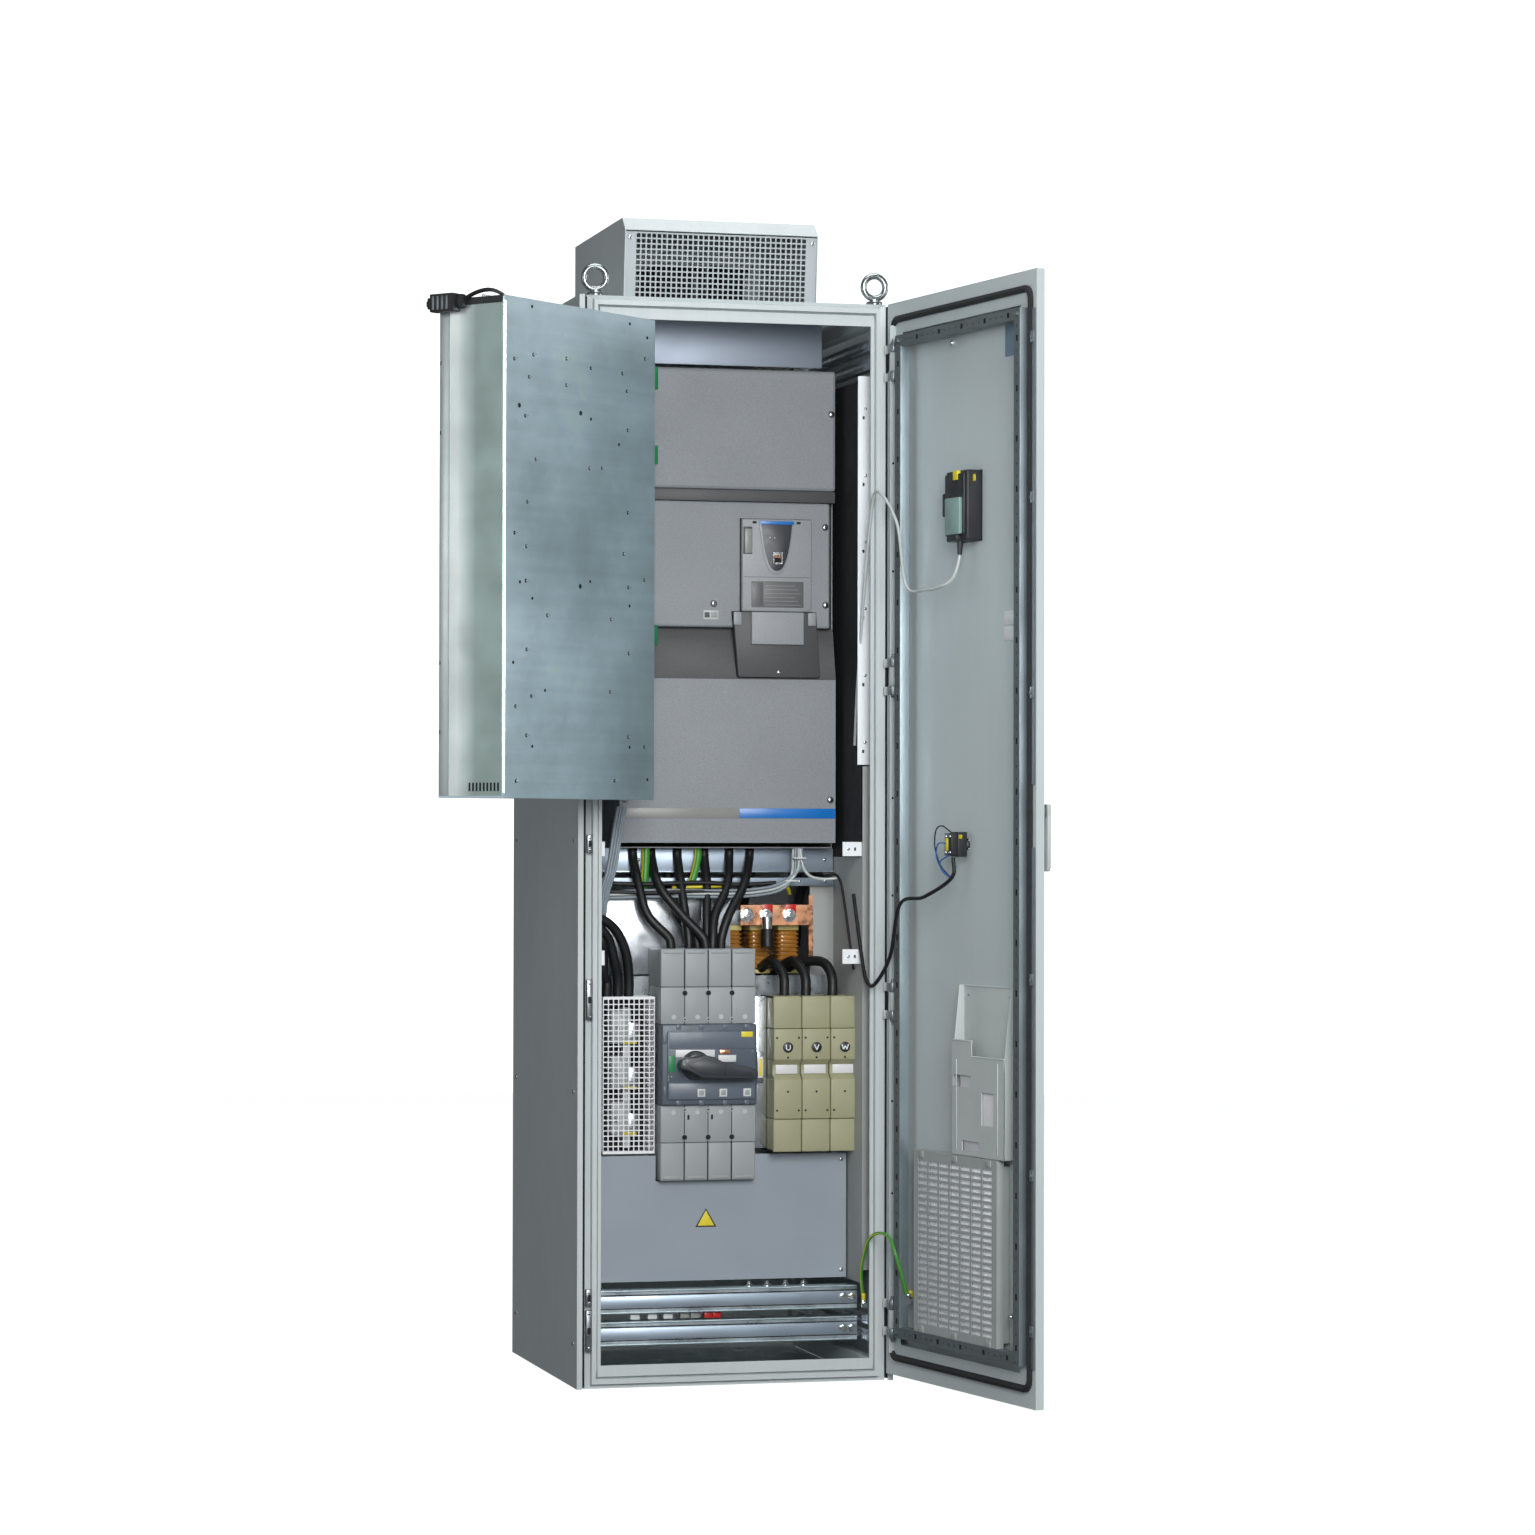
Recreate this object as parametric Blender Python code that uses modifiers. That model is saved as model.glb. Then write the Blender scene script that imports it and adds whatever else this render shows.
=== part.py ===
"""Variable frequency drive in a free-standing cabinet, metres, +Z up.

The origin is the middle of the cabinet's footprint on the floor, +Y points to the back.
The door and the component tray stand swung open. Each is modelled shut, in the frame
of an empty on its hinge axis, and the empty turns it open.
"""

import math

import bmesh
import bpy
from mathutils import Matrix, Vector

# Cabinet
HALF_WIDTH = 0.300
HALF_DEPTH = 0.300
HEIGHT = 2.000
OPENING_HALF = 0.255
OPENING_LOW = 0.042
OPENING_HIGH = 1.958
SHEET = 0.0015
GAP = 0.0004

# Roof
HOOD_HALF_WIDTH = 0.1865
HOOD_TOP = 2.165
FAN_Y = 0.050
FAN_RADIUS = 0.110
EYE_X = 0.2665
EYE_Y = 0.280

# Door, measured from its hinge axis, shut
DOOR_AXIS = (0.2935, -0.312)
DOOR_OPEN = math.radians(100.4)
DOOR_FREE = -0.572
DOOR_LOW = 0.0145
DOOR_HIGH = 1.999
DOOR_HALF_THICK = 0.008
DOOR_HINGE_HEIGHTS = (0.118, 0.704, 1.305, 1.889)

# Swing tray, measured from its hinge axis, shut
TRAY_AXIS = (-0.2405, -0.258)
TRAY_OPEN = math.radians(-138.3)
TRAY_NEAR = 0.0191
TRAY_FAR = 0.4708
TRAY_BACK = 0.1230
TRAY_DEPTH = 0.1432
TRAY_LOW = 1.0743
TRAY_HIGH = 1.9481
TRAY_HINGE_HEIGHTS = {"lower": 1.220, "upper": 1.800}

# Drive module
DRIVE_LEFT = -0.180
DRIVE_RIGHT = 0.240
DRIVE_LOW = 0.9965
DRIVE_HIGH = 1.893
DRIVE_FRONT = -0.110
CHASSIS_FRONT = -0.085
CHASSIS_BACK = 0.282

# Main switch and motor terminals
SWITCH_LEFT = -0.116
SWITCH_RIGHT = 0.068
SWITCH_LOW = 0.366
SWITCH_HIGH = 0.7986
SWITCH_BACK = -0.0755
HANDLE_PIVOT = (-0.0525, 0.5825)
TERMINAL_LEFT = 0.0964
TERMINAL_PITCH = 0.0553
TERMINAL_LOW = 0.4184
TERMINAL_HIGH = 0.7095

CABLE_STEP = 0.022

LIGHT_GREY = (0.60, 0.64, 0.62, 1.0)
ZINC = (0.42, 0.47, 0.50, 1.0)


def clear_scene():
    for obj in list(bpy.data.objects):
        bpy.data.objects.remove(obj, do_unlink=True)


def new_collection(name):
    collection = bpy.data.collections.new(name)
    bpy.context.scene.collection.children.link(collection)
    return collection


def material(name, colour, roughness, metallic=0.0):
    made = bpy.data.materials.new(name)
    made.use_nodes = True
    shader = made.node_tree.nodes["Principled BSDF"]
    shader.inputs["Base Color"].default_value = colour
    shader.inputs["Roughness"].default_value = roughness
    shader.inputs["Metallic"].default_value = metallic
    return made


clear_scene()
PARTS = new_collection("variable_frequency_drive")
TOOLS = new_collection("cutters")

PAINT = material("grey_powder_coat", LIGHT_GREY, 0.45)
GALVANISED = material("galvanised_sheet", ZINC, 0.38, 0.9)
BRIGHT_ZINC = material("bright_zinc", (0.70, 0.72, 0.72, 1.0), 0.22, 1.0)
DRIVE_GREY = material("drive_housing", (0.36, 0.36, 0.37, 1.0), 0.55)
DARK_GREY = material("dark_plastic", (0.05, 0.055, 0.065, 1.0), 0.45)
BLACK = material("black_plastic", (0.012, 0.012, 0.014, 1.0), 0.4)
BEIGE = material("terminal_plastic", (0.55, 0.53, 0.43, 1.0), 0.5)
PALE_PLASTIC = material("pale_plastic", (0.62, 0.64, 0.60, 1.0), 0.45)
RED = material("red_plastic", (0.60, 0.02, 0.02, 1.0), 0.35)
COPPER = material("copper", (0.72, 0.36, 0.20, 1.0), 0.3, 1.0)
ALUMINIUM = material("aluminium", (0.62, 0.63, 0.64, 1.0), 0.4, 1.0)
FOAM = material("black_foam", (0.012, 0.012, 0.012, 1.0), 0.9)
CABLE = material("black_cable", (0.015, 0.015, 0.017, 1.0), 0.5)
PALE_CABLE = material("clear_grey_cable", (0.50, 0.54, 0.52, 1.0), 0.35)
EARTH = material("earth_cable", (0.45, 0.55, 0.05, 1.0), 0.5)


def add_object(name, mesh, paint, parent=None, origin=(0.0, 0.0, 0.0)):
    """An object whose mesh, given in its parent's frame, is moved so that its origin is at origin."""
    mesh.transform(Matrix.Translation(-Vector(origin)))
    mesh.materials.append(paint)
    obj = bpy.data.objects.new(name, mesh)
    obj.parent = parent
    obj.location = origin
    PARTS.objects.link(obj)
    return obj


def mesh_from(name, bm):
    bmesh.ops.recalc_face_normals(bm, faces=bm.faces)
    mesh = bpy.data.meshes.new(name)
    bm.to_mesh(mesh)
    bm.free()
    return mesh


def cube_between(bm, low, high):
    low, high = Vector(low), Vector(high)
    size = Matrix.Diagonal((high - low).to_4d())
    size[3][3] = 1.0
    bmesh.ops.create_cube(bm, size=1.0, matrix=Matrix.Translation((low + high) / 2) @ size)


def bevelled(obj, width, segments=1):
    bevel = obj.modifiers.new("Bevel", "BEVEL")
    bevel.width = width
    bevel.segments = segments
    bevel.limit_method = "ANGLE"
    return obj


def box(name, low, high, paint, parent=None, origin=(0.0, 0.0, 0.0)):
    bm = bmesh.new()
    cube_between(bm, low, high)
    return add_object(name, mesh_from(name, bm), paint, parent, origin)


def remove_sides(bm, directions):
    for direction in directions:
        facing = [f for f in bm.faces if f.normal.dot(Vector(direction)) > 0.97]
        bmesh.ops.delete(bm, geom=facing, context="FACES")


def solidified(obj, wall):
    solidify = obj.modifiers.new("Solidify", "SOLIDIFY")
    solidify.thickness = wall
    solidify.offset = -1.0
    solidify.use_even_offset = True
    return obj


def open_box(name, low, high, open_sides, paint, parent=None, wall=SHEET):
    """A sheet box whose wall goes inwards from its outside size."""
    bm = bmesh.new()
    cube_between(bm, low, high)
    bmesh.ops.recalc_face_normals(bm, faces=bm.faces)
    remove_sides(bm, open_sides)
    mesh = bpy.data.meshes.new(name)
    bm.to_mesh(mesh)
    bm.free()
    return solidified(add_object(name, mesh, paint, parent), wall)


def along(axis, first, second, level):
    """The point of an outline whose plane is crossed by axis at level."""
    points = {
        "x": (level, first, second),
        "y": (first, level, second),
        "z": (first, second, level),
    }
    return points[axis]


def prism_mesh(name, outline, axis, start, end):
    bm = bmesh.new()
    corners = [bm.verts.new(along(axis, *point, start)) for point in outline]
    face = bm.faces.new(corners)
    swept = bmesh.ops.extrude_face_region(bm, geom=[face])
    moved = [v for v in swept["geom"] if isinstance(v, bmesh.types.BMVert)]
    bmesh.ops.translate(bm, verts=moved, vec=along(axis, 0.0, 0.0, end - start))
    return bm


def prism(name, outline, axis, start, end, paint, parent=None):
    bm = prism_mesh(name, outline, axis, start, end)
    return add_object(name, mesh_from(name, bm), paint, parent)


def cylinder(name, centre, radius, length, axis, paint, sides=16, parent=None, origin=(0.0, 0.0, 0.0)):
    turns = {
        "x": Matrix.Rotation(math.pi / 2, 4, "Y"),
        "y": Matrix.Rotation(math.pi / 2, 4, "X"),
        "z": Matrix.Identity(4),
    }
    bm = bmesh.new()
    bmesh.ops.create_cone(
        bm,
        cap_ends=True,
        segments=sides,
        radius1=radius,
        radius2=radius,
        depth=length,
        matrix=Matrix.Translation(centre) @ turns[axis],
    )
    obj = add_object(name, mesh_from(name, bm), paint, parent, origin)
    obj.data.shade_smooth()
    obj.data.set_sharp_from_angle(angle=math.radians(40))
    return obj


def station_ring(name, stations, paint, parent=None):
    """Joins equal cross-sections, each a list of points, into one closed loop."""
    bm = bmesh.new()
    rings = [[bm.verts.new(point) for point in station] for station in stations]
    count = len(rings[0])
    for here, there in zip(rings, rings[1:] + rings[:1]):
        for i in range(count):
            j = (i + 1) % count
            bm.faces.new((here[i], here[j], there[j], there[i]))
    return add_object(name, mesh_from(name, bm), paint, parent)


def mitred_ring(name, left, right, low, high, profile, paint, parent=None):
    """A rectangular frame. Each profile point is (outwards at the sides, outwards at the ends, y)."""
    stations = []
    for x_sign, z_sign in ((-1, -1), (1, -1), (1, 1), (-1, 1)):
        x_edge = left if x_sign < 0 else right
        z_edge = low if z_sign < 0 else high
        stations.append([(x_edge + x_sign * a, y, z_edge + z_sign * b) for a, b, y in profile])
    return station_ring(name, stations, paint, parent)


def rounded_corners(left, right, low, high, radius, steps=4):
    """Points round a rectangle with round corners, each with its outward direction."""
    points = []
    centres = (
        (right - radius, high - radius, 0.0),
        (left + radius, high - radius, 90.0),
        (left + radius, low + radius, 180.0),
        (right - radius, low + radius, 270.0),
    )
    for x, z, start in centres:
        for step in range(steps + 1):
            angle = math.radians(start + 90.0 * step / steps)
            out = Vector((math.cos(angle), 0.0, math.sin(angle)))
            points.append((Vector((x, 0.0, z)) + out * radius, out))
    return points


def smooth_route(points, spacing):
    """Points about spacing apart on a Catmull-Rom curve through the given ones."""
    knots = [Vector(p) for p in points]
    knots = [knots[0] * 2 - knots[1]] + knots + [knots[-1] * 2 - knots[-2]]
    route = []
    for a, b, c, d in zip(knots, knots[1:], knots[2:], knots[3:]):
        steps = max(1, round((c - b).length / spacing))
        for step in range(steps):
            t = step / steps
            route.append(
                0.5
                * (
                    2 * b
                    + (c - a) * t
                    + (2 * a - 5 * b + 4 * c - d) * t**2
                    + (3 * b - a - 3 * c + d) * t**3
                )
            )
    return route + [knots[-2]]


def cable(name, points, radius, paint, resolution=2):
    curve = bpy.data.curves.new(name, "CURVE")
    curve.dimensions = "3D"
    curve.bevel_depth = radius
    curve.bevel_resolution = resolution
    curve.use_fill_caps = True
    route = smooth_route(points, CABLE_STEP)
    spline = curve.splines.new("POLY")
    spline.points.add(len(route) - 1)
    for target, point in zip(spline.points, route):
        target.co = (*point, 1.0)
    curve.materials.append(paint)
    obj = bpy.data.objects.new(name, curve)
    PARTS.objects.link(obj)
    return obj


def as_tool(obj):
    PARTS.objects.unlink(obj)
    TOOLS.objects.link(obj)
    obj.hide_render = True
    obj.display_type = "WIRE"
    return obj


def combine(obj, operation, tools):
    for tool in tools:
        boolean = obj.modifiers.new(tool.name, "BOOLEAN")
        boolean.operation = operation
        boolean.object = as_tool(tool)
    return obj


def join(obj, *tools):
    return combine(obj, "UNION", tools)


def cut(obj, *tools):
    return combine(obj, "DIFFERENCE", tools)


def axis_empty(name, location, angle=0.0):
    empty = bpy.data.objects.new(name, None)
    empty.location = location
    empty.rotation_euler = (0.0, 0.0, angle)
    PARTS.objects.link(empty)
    return empty


# Cabinet


def cabinet_frame():
    """Front and back rings on four corner rails, welded into one frame."""
    lip_front, channel = -0.297, -0.289
    front_profile = (
        (0.013, 0.013, -0.2555),
        (0.013, 0.013, -0.2920),
        (0.0, 0.0, -0.2920),
        (0.0, 0.0, lip_front),
        (0.006, 0.020, lip_front),
        (0.0075, 0.0225, channel),
        (0.010, 0.0245, -HALF_DEPTH),
        (0.017, 0.0335, -HALF_DEPTH),
        (0.0185, 0.0355, channel),
        (0.030, 0.042, -0.292),
        (0.030, 0.042, -0.2555),
    )
    back_profile = (
        (0.0, 0.0, 0.2555),
        (0.030, 0.042, 0.2555),
        (0.030, 0.042, 0.2920),
        (0.0, 0.0, 0.2920),
    )
    edges = (-OPENING_HALF, OPENING_HALF, OPENING_LOW, OPENING_HIGH)
    frame = mitred_ring("cabinet_frame", *edges, front_profile, PAINT)
    tools = [mitred_ring("back_ring", *edges, back_profile, PAINT)]
    for x_side in (-1, 1):
        for low, high in ((0.002, 0.038), (1.962, 1.998)):
            x_inner, x_outer = x_side * 0.2572, x_side * 0.2832
            tools.append(
                box(
                    f"corner_rail_{x_side}_{low}",
                    (min(x_inner, x_outer), -0.268, low),
                    (max(x_inner, x_outer), 0.268, high),
                    PAINT,
                )
            )
    return join(frame, *tools)


def side_panel(name, side):
    outer, inner, flange = side * HALF_WIDTH, side * 0.298, side * 0.290
    front, back, thick = -HALF_DEPTH, HALF_DEPTH, 0.002
    outline = (
        (outer, front),
        (flange, front),
        (flange, front + thick),
        (inner, front + thick),
        (inner, back - thick),
        (flange, back - thick),
        (flange, back),
        (outer, back),
    )
    return prism(name, outline, "z", 0.0, HEIGHT, PAINT)


def rear_panel():
    return box("rear_panel", (-0.2895, 0.2924, 0.002), (0.2895, 0.2944, 1.998), PAINT)


def floor_plate():
    return box("floor_plate", (-0.2545, -0.2545, 0.0), (0.2545, 0.2545, 0.003), GALVANISED)


def roof_plate():
    """The roof sheet with the fan's inlet collar and the cross bar that carries the fan."""
    plate = box("roof_plate", (-0.2545, -0.2545, 1.9965), (0.2545, 0.2545, 1.9995), PAINT)
    collar_height = 0.032
    middle = (0.0, FAN_Y, 1.9965 + collar_height / 2)
    collar = cylinder("fan_collar", middle, 0.121, collar_height, "z", PAINT, 32)
    inlet = cylinder("fan_inlet", middle, 0.118, 0.2, "z", PAINT, 32)
    bar = box("fan_bar", (-0.1195, FAN_Y - 0.012, 2.002), (0.1195, FAN_Y + 0.012, 2.006), PAINT)
    spindle = cylinder("fan_spindle", (0.0, FAN_Y, 2.011), 0.006, 0.014, "z", PAINT, 12)
    join(plate, collar)
    cut(plate, inlet)
    return join(plate, bar, spindle)


def roof_hood():
    outline = (
        (-0.160, HEIGHT + GAP),
        (-0.175, 2.140),
        (-0.150, HOOD_TOP),
        (0.270, HOOD_TOP),
        (0.270, HEIGHT + GAP),
    )
    bm = prism_mesh("roof_hood", outline, "x", -HOOD_HALF_WIDTH, HOOD_HALF_WIDTH)
    bmesh.ops.recalc_face_normals(bm, faces=bm.faces)
    remove_sides(bm, ((0.0, -1.0, 0.0), (0.0, 0.0, -1.0)))
    mesh = bpy.data.meshes.new("roof_hood")
    bm.to_mesh(mesh)
    bm.free()
    return solidified(add_object("roof_hood", mesh, PAINT), SHEET)


def hood_grille():
    outline = ((-0.1572, 2.0035), (-0.1716, 2.137), (-0.1700, 2.137), (-0.1556, 2.0035))
    half = HOOD_HALF_WIDTH - 0.002
    return prism("hood_grille", outline, "x", -half, half, PAINT)


def fan_impeller():
    """A backward-curved wheel on its outer-rotor motor."""
    centre = (0.0, FAN_Y, 0.0)
    low, high = 2.022, 2.092
    wheel = cylinder(
        "fan_impeller", (0.0, FAN_Y, high), FAN_RADIUS, 0.004, "z", DARK_GREY, 28, None, centre
    )
    hub = cylinder("fan_hub", (0.0, FAN_Y, (low + high) / 2), 0.042, high - low, "z", DARK_GREY, 20)
    blades = []
    blade_count = 7
    for number in range(blade_count):
        angle = 2 * math.pi * number / blade_count
        root = Vector((math.cos(angle), math.sin(angle))) * 0.040
        tip = Vector((math.cos(angle - 0.7), math.sin(angle - 0.7))) * 0.107
        across = (tip - root).orthogonal().normalized() * 0.0015
        middle = Vector((0.0, FAN_Y))
        corners = (root + across, tip + across, tip - across, root - across)
        outline = [tuple(middle + corner) for corner in corners]
        blades.append(prism(f"fan_blade_{number}", outline, "z", low + 0.006, high, DARK_GREY))
    return join(wheel, hub, *blades)


def eyebolt(name, x, y):
    """A lifting eye for an M12 thread: 30 mm inside, 54 mm outside."""
    foot_height = 0.008
    foot = cylinder(
        name, (x, y, HEIGHT + GAP + foot_height / 2), 0.015, foot_height, "z", BRIGHT_ZINC, 16
    )
    bpy.ops.mesh.primitive_torus_add(
        major_radius=0.021,
        minor_radius=0.006,
        major_segments=20,
        minor_segments=8,
        location=(x, y, HEIGHT + GAP + 0.033),
        rotation=(math.pi / 2, 0.0, 0.0),
    )
    ring = bpy.context.object
    ring.name = name + "_ring"
    for collection in list(ring.users_collection):
        collection.objects.unlink(ring)
    PARTS.objects.link(ring)
    return join(foot, ring)


# Drive module


def air_baffle():
    front, back, low, high = -0.1180, -0.1165, 1.8975, 1.9550
    outline = (
        (front, low),
        (back, low),
        (back, high - SHEET),
        (-0.060, high - SHEET),
        (-0.060, high),
        (front, high),
    )
    return prism("air_baffle", outline, "x", -0.200, 0.2093, PAINT)


def drive_chassis():
    low = (DRIVE_LEFT, CHASSIS_FRONT, DRIVE_LOW - 0.010)
    high = (DRIVE_RIGHT, CHASSIS_BACK, DRIVE_HIGH)
    return open_box("drive_chassis", low, high, ((0, -1, 0),), DRIVE_GREY, None, 0.002)


def drive_covers():
    back = CHASSIS_FRONT - GAP
    top = box(
        "drive_top_cover",
        (DRIVE_LEFT, DRIVE_FRONT, 1.6640),
        (DRIVE_RIGHT, back, DRIVE_HIGH),
        DRIVE_GREY,
    )
    middle = box("drive_middle_cover", (-0.170, -0.106, 1.4035), (0.2295, back, 1.6415), DRIVE_GREY)
    bevelled(top, 0.006, 2)
    bevelled(middle, 0.004, 2)
    outline = (
        (back, DRIVE_LOW),
        (DRIVE_FRONT, DRIVE_LOW),
        (DRIVE_FRONT, 1.3057),
        (back - 0.002, 1.3980),
        (back, 1.3980),
    )
    lower = prism("drive_lower_cover", outline, "x", DRIVE_LEFT, DRIVE_RIGHT, DRIVE_GREY)
    return top, middle, lower


def keypad_module():
    module = box("keypad_module", (0.0535, -0.1185, 1.4335), (0.1903, -0.1064, 1.6089), DRIVE_GREY)
    return bevelled(module, 0.003, 2)


def module_cover():
    outline = ((0.0368, 1.4305), (0.1987, 1.4305), (0.2068, 1.3095), (0.0468, 1.3095))
    cover = prism("module_cover", outline, "y", -0.1255, -0.1108, DRIVE_GREY)
    return bevelled(cover, 0.003, 2)


def heat_sink():
    """Fins on a base plate that carries the power modules, in the chassis's rear air duct."""
    left, right, fin_count = -0.160, 0.220, 14
    base_front, base_back, tip, fin = 0.040, 0.054, 0.262, 0.006
    pitch = (right - left - fin) / (fin_count - 1)
    outline = [(left, base_front), (right, base_front)]
    for number in reversed(range(fin_count)):
        start = left + number * pitch
        outline += [(start + fin, tip), (start, tip)]
        if number:
            outline += [(start, base_back), (start - pitch + fin, base_back)]
    return prism("heat_sink", outline, "z", 1.060, 1.800, ALUMINIUM)


# Power section


def mounting_plate():
    return box("mounting_plate", (-0.240, -0.0745, 0.180), (0.250, -0.0725, 0.745), GALVANISED)


def main_switch():
    low_split, high_split = 0.5075, 0.6585
    body = box(
        "switch_body",
        (SWITCH_LEFT, -0.190, low_split),
        (SWITCH_RIGHT, SWITCH_BACK, high_split - GAP),
        DARK_GREY,
    )
    cover_front = -0.175
    upper = box(
        "switch_upper_cover",
        (SWITCH_LEFT, cover_front, high_split),
        (SWITCH_RIGHT, SWITCH_BACK, SWITCH_HIGH),
        DARK_GREY,
    )
    lower = box(
        "switch_lower_cover",
        (SWITCH_LEFT, cover_front, SWITCH_LOW),
        (SWITCH_RIGHT, SWITCH_BACK, low_split - GAP),
        DARK_GREY,
    )
    for part in (body, upper, lower):
        bevelled(part, 0.003)
    return body, upper, lower


def switch_handle():
    """A rotary grip that stands level when the switch is off."""
    x, z = HANDLE_PIVOT
    front, back = -0.2360, -0.1905
    grip = box(
        "switch_handle",
        (-0.0908, front, z - 0.014),
        (0.0568, -0.2080, z + 0.014),
        BLACK,
        None,
        (x, front, z),
    )
    bevelled(grip, 0.004, 2)
    boss = cylinder("handle_boss", (x, (back - 0.212) / 2, z), 0.026, back + 0.212, "y", BLACK, 24)
    return join(grip, boss)


def motor_terminals():
    for number, phase in enumerate("uvw"):
        left = TERMINAL_LEFT + number * TERMINAL_PITCH
        block = box(
            f"motor_terminal_{phase}",
            (left, -0.200, TERMINAL_LOW),
            (left + TERMINAL_PITCH - 0.0006, -0.110, TERMINAL_HIGH),
            BEIGE,
        )
        bevelled(block, 0.003)


def mesh_guard():
    low, high = (-0.2197, -0.150, 0.4165), (-0.1205, -0.090, 0.7090)
    return open_box("mesh_guard", low, high, ((0, 1, 0),), PAINT)


def lower_cover_plate():
    """A touch guard over the input terminals, cut out below the switch."""
    left, right, low, high = -0.235, 0.2505, 0.178, 0.4125
    notch_left, notch_right, notch = SWITCH_LEFT - 0.003, SWITCH_RIGHT + 0.003, SWITCH_LOW - 0.0015
    outline = (
        (left, low),
        (right, low),
        (right, high),
        (notch_right, high),
        (notch_right, notch),
        (notch_left, notch),
        (notch_left, high),
        (left, high),
    )
    return prism("lower_cover_plate", outline, "y", -0.1515, -0.150, DRIVE_GREY)


def bottom_rail(name, low, high):
    """An open C section across the cabinet, its back open."""
    front, back, wall, lip = -0.200, -0.172, 0.002, 0.006
    outline = (
        (front, low),
        (back, low),
        (back, low + lip),
        (back - wall, low + lip),
        (back - wall, low + wall),
        (front + wall, low + wall),
        (front + wall, high - wall),
        (back - wall, high - wall),
        (back - wall, high - lip),
        (back, high - lip),
        (back, high),
        (front, high),
    )
    return prism(name, outline, "x", -0.2560, 0.2586, GALVANISED)


def copper_busbar():
    outline = (
        (0.0610, 0.8404),
        (0.1944, 0.8404),
        (0.1944, 0.7643),
        (0.2026, 0.7643),
        (0.2026, 0.8970),
        (0.1944, 0.8970),
        (0.1944, 0.8787),
        (0.0610, 0.8787),
    )
    return prism("copper_busbar", outline, "y", -0.0865, -0.0815, COPPER)


def power_cables():
    line = (
        (-0.030, -0.038, 0.9860),
        (-0.030, -0.038, 0.9620),
        (-0.028, -0.080, 0.9000),
        (-0.024, -0.125, 0.8250),
        (-0.024, -0.125, 0.7990),
    )
    motor = (
        (0.180, -0.052, 0.9860),
        (0.180, -0.052, 0.9660),
        (0.180, -0.118, 0.8950),
        (0.180, -0.155, 0.7900),
        (0.180, -0.155, 0.7300),
        (0.180, -0.155, 0.7105),
    )
    cable("line_cables", line, 0.034, CABLE, 3)
    cable("motor_cables", motor, 0.026, CABLE, 3)


# Door


def door_hinge(name, height):
    """A barrel with its pin on a foot that is screwed to the side panel's front flange."""
    x, y = DOOR_AXIS
    barrel = cylinder(name, (x, y, height), 0.005, 0.036, "z", BRIGHT_ZINC, 14)
    pin = cylinder(name + "_pin", (x, y, height), 0.0025, 0.060, "z", BRIGHT_ZINC, 10)
    arm = box(
        name + "_arm",
        (x - 0.0042, y + 0.001, height - 0.018),
        (x + 0.0010, -0.3010, height + 0.018),
        BRIGHT_ZINC,
    )
    foot = box(
        name + "_foot",
        (0.2893, -0.3018, height - 0.024),
        (0.2997, -HALF_DEPTH - GAP, height + 0.024),
        BRIGHT_ZINC,
    )
    return join(barrel, pin, arm, foot)


def door_panel(parent):
    """A folded sheet with returned edges, knuckles for the hinge pins and its cut-outs."""
    thick = DOOR_HALF_THICK
    edge = 0.006
    low = (DOOR_FREE, -thick, DOOR_LOW)
    high = (edge, thick, DOOR_HIGH)
    panel = open_box("door_panel", low, high, ((0, 1, 0),), PAINT, parent)
    return_width, inset = 0.058, 0.0005
    returns = mitred_ring(
        "door_returns",
        DOOR_FREE + inset + return_width,
        edge - inset - return_width,
        DOOR_LOW + inset + return_width,
        DOOR_HIGH - inset - return_width,
        (
            (0.0, 0.0, thick - 0.0015),
            (return_width, return_width, thick - 0.0015),
            (return_width, return_width, thick - 0.0001),
            (0.0, 0.0, thick - 0.0001),
        ),
        PAINT,
        parent,
    )
    join(panel, returns)
    for height in DOOR_HINGE_HEIGHTS:
        for side in (-1, 1):
            near, far = height + side * 0.0185, height + side * 0.031
            knuckle = box(
                f"door_knuckle_{height}_{side}",
                (-0.0055, -0.0070, min(near, far)),
                (0.0052, 0.0070, max(near, far)),
                PAINT,
                parent,
            )
            join(panel, knuckle)
        half = 0.0190
        clear = box(
            f"hinge_clear_{height}",
            (-0.0100, -0.0062, height - half),
            (0.0120, 0.0120, height + half),
            PAINT,
            parent,
        )
        cut(panel, clear)
    bore = cylinder("pin_bore", (0.0, 0.0, 1.0), 0.0033, 2.2, "z", PAINT, 10, parent)
    filter_hole = box("filter_hole", (-0.450, -0.02, 0.115), (-0.142, 0.02, 0.431), PAINT, parent)
    keypad_hole = box("keypad_hole", (-0.3440, -0.02, 1.538), (-0.2600, 0.02, 1.666), PAINT, parent)
    shaft_hole = cylinder("shaft_hole", (-0.532, 0.0, 1.052), 0.0095, 0.04, "y", PAINT, 16, parent)
    button_hole = cylinder("button_hole", (-0.287, 0.0, 0.995), 0.0110, 0.04, "y", PAINT, 16, parent)
    return cut(panel, bore, filter_hole, keypad_hole, shaft_hole, button_hole)


def door_stiffener(parent):
    """A channel frame, open towards the door sheet."""
    base, face, wall, width = 0.0084, 0.0284, 0.0015, 0.020
    profile = (
        (0.0, 0.0, base),
        (0.0, 0.0, face),
        (width, width, face),
        (width, width, base),
        (width - wall, width - wall, base),
        (width - wall, width - wall, face - wall),
        (wall, wall, face - wall),
        (wall, wall, base),
    )
    return mitred_ring(
        "door_stiffener", -0.526, -0.085, 0.089, 1.932, profile, GALVANISED, parent
    )


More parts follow.
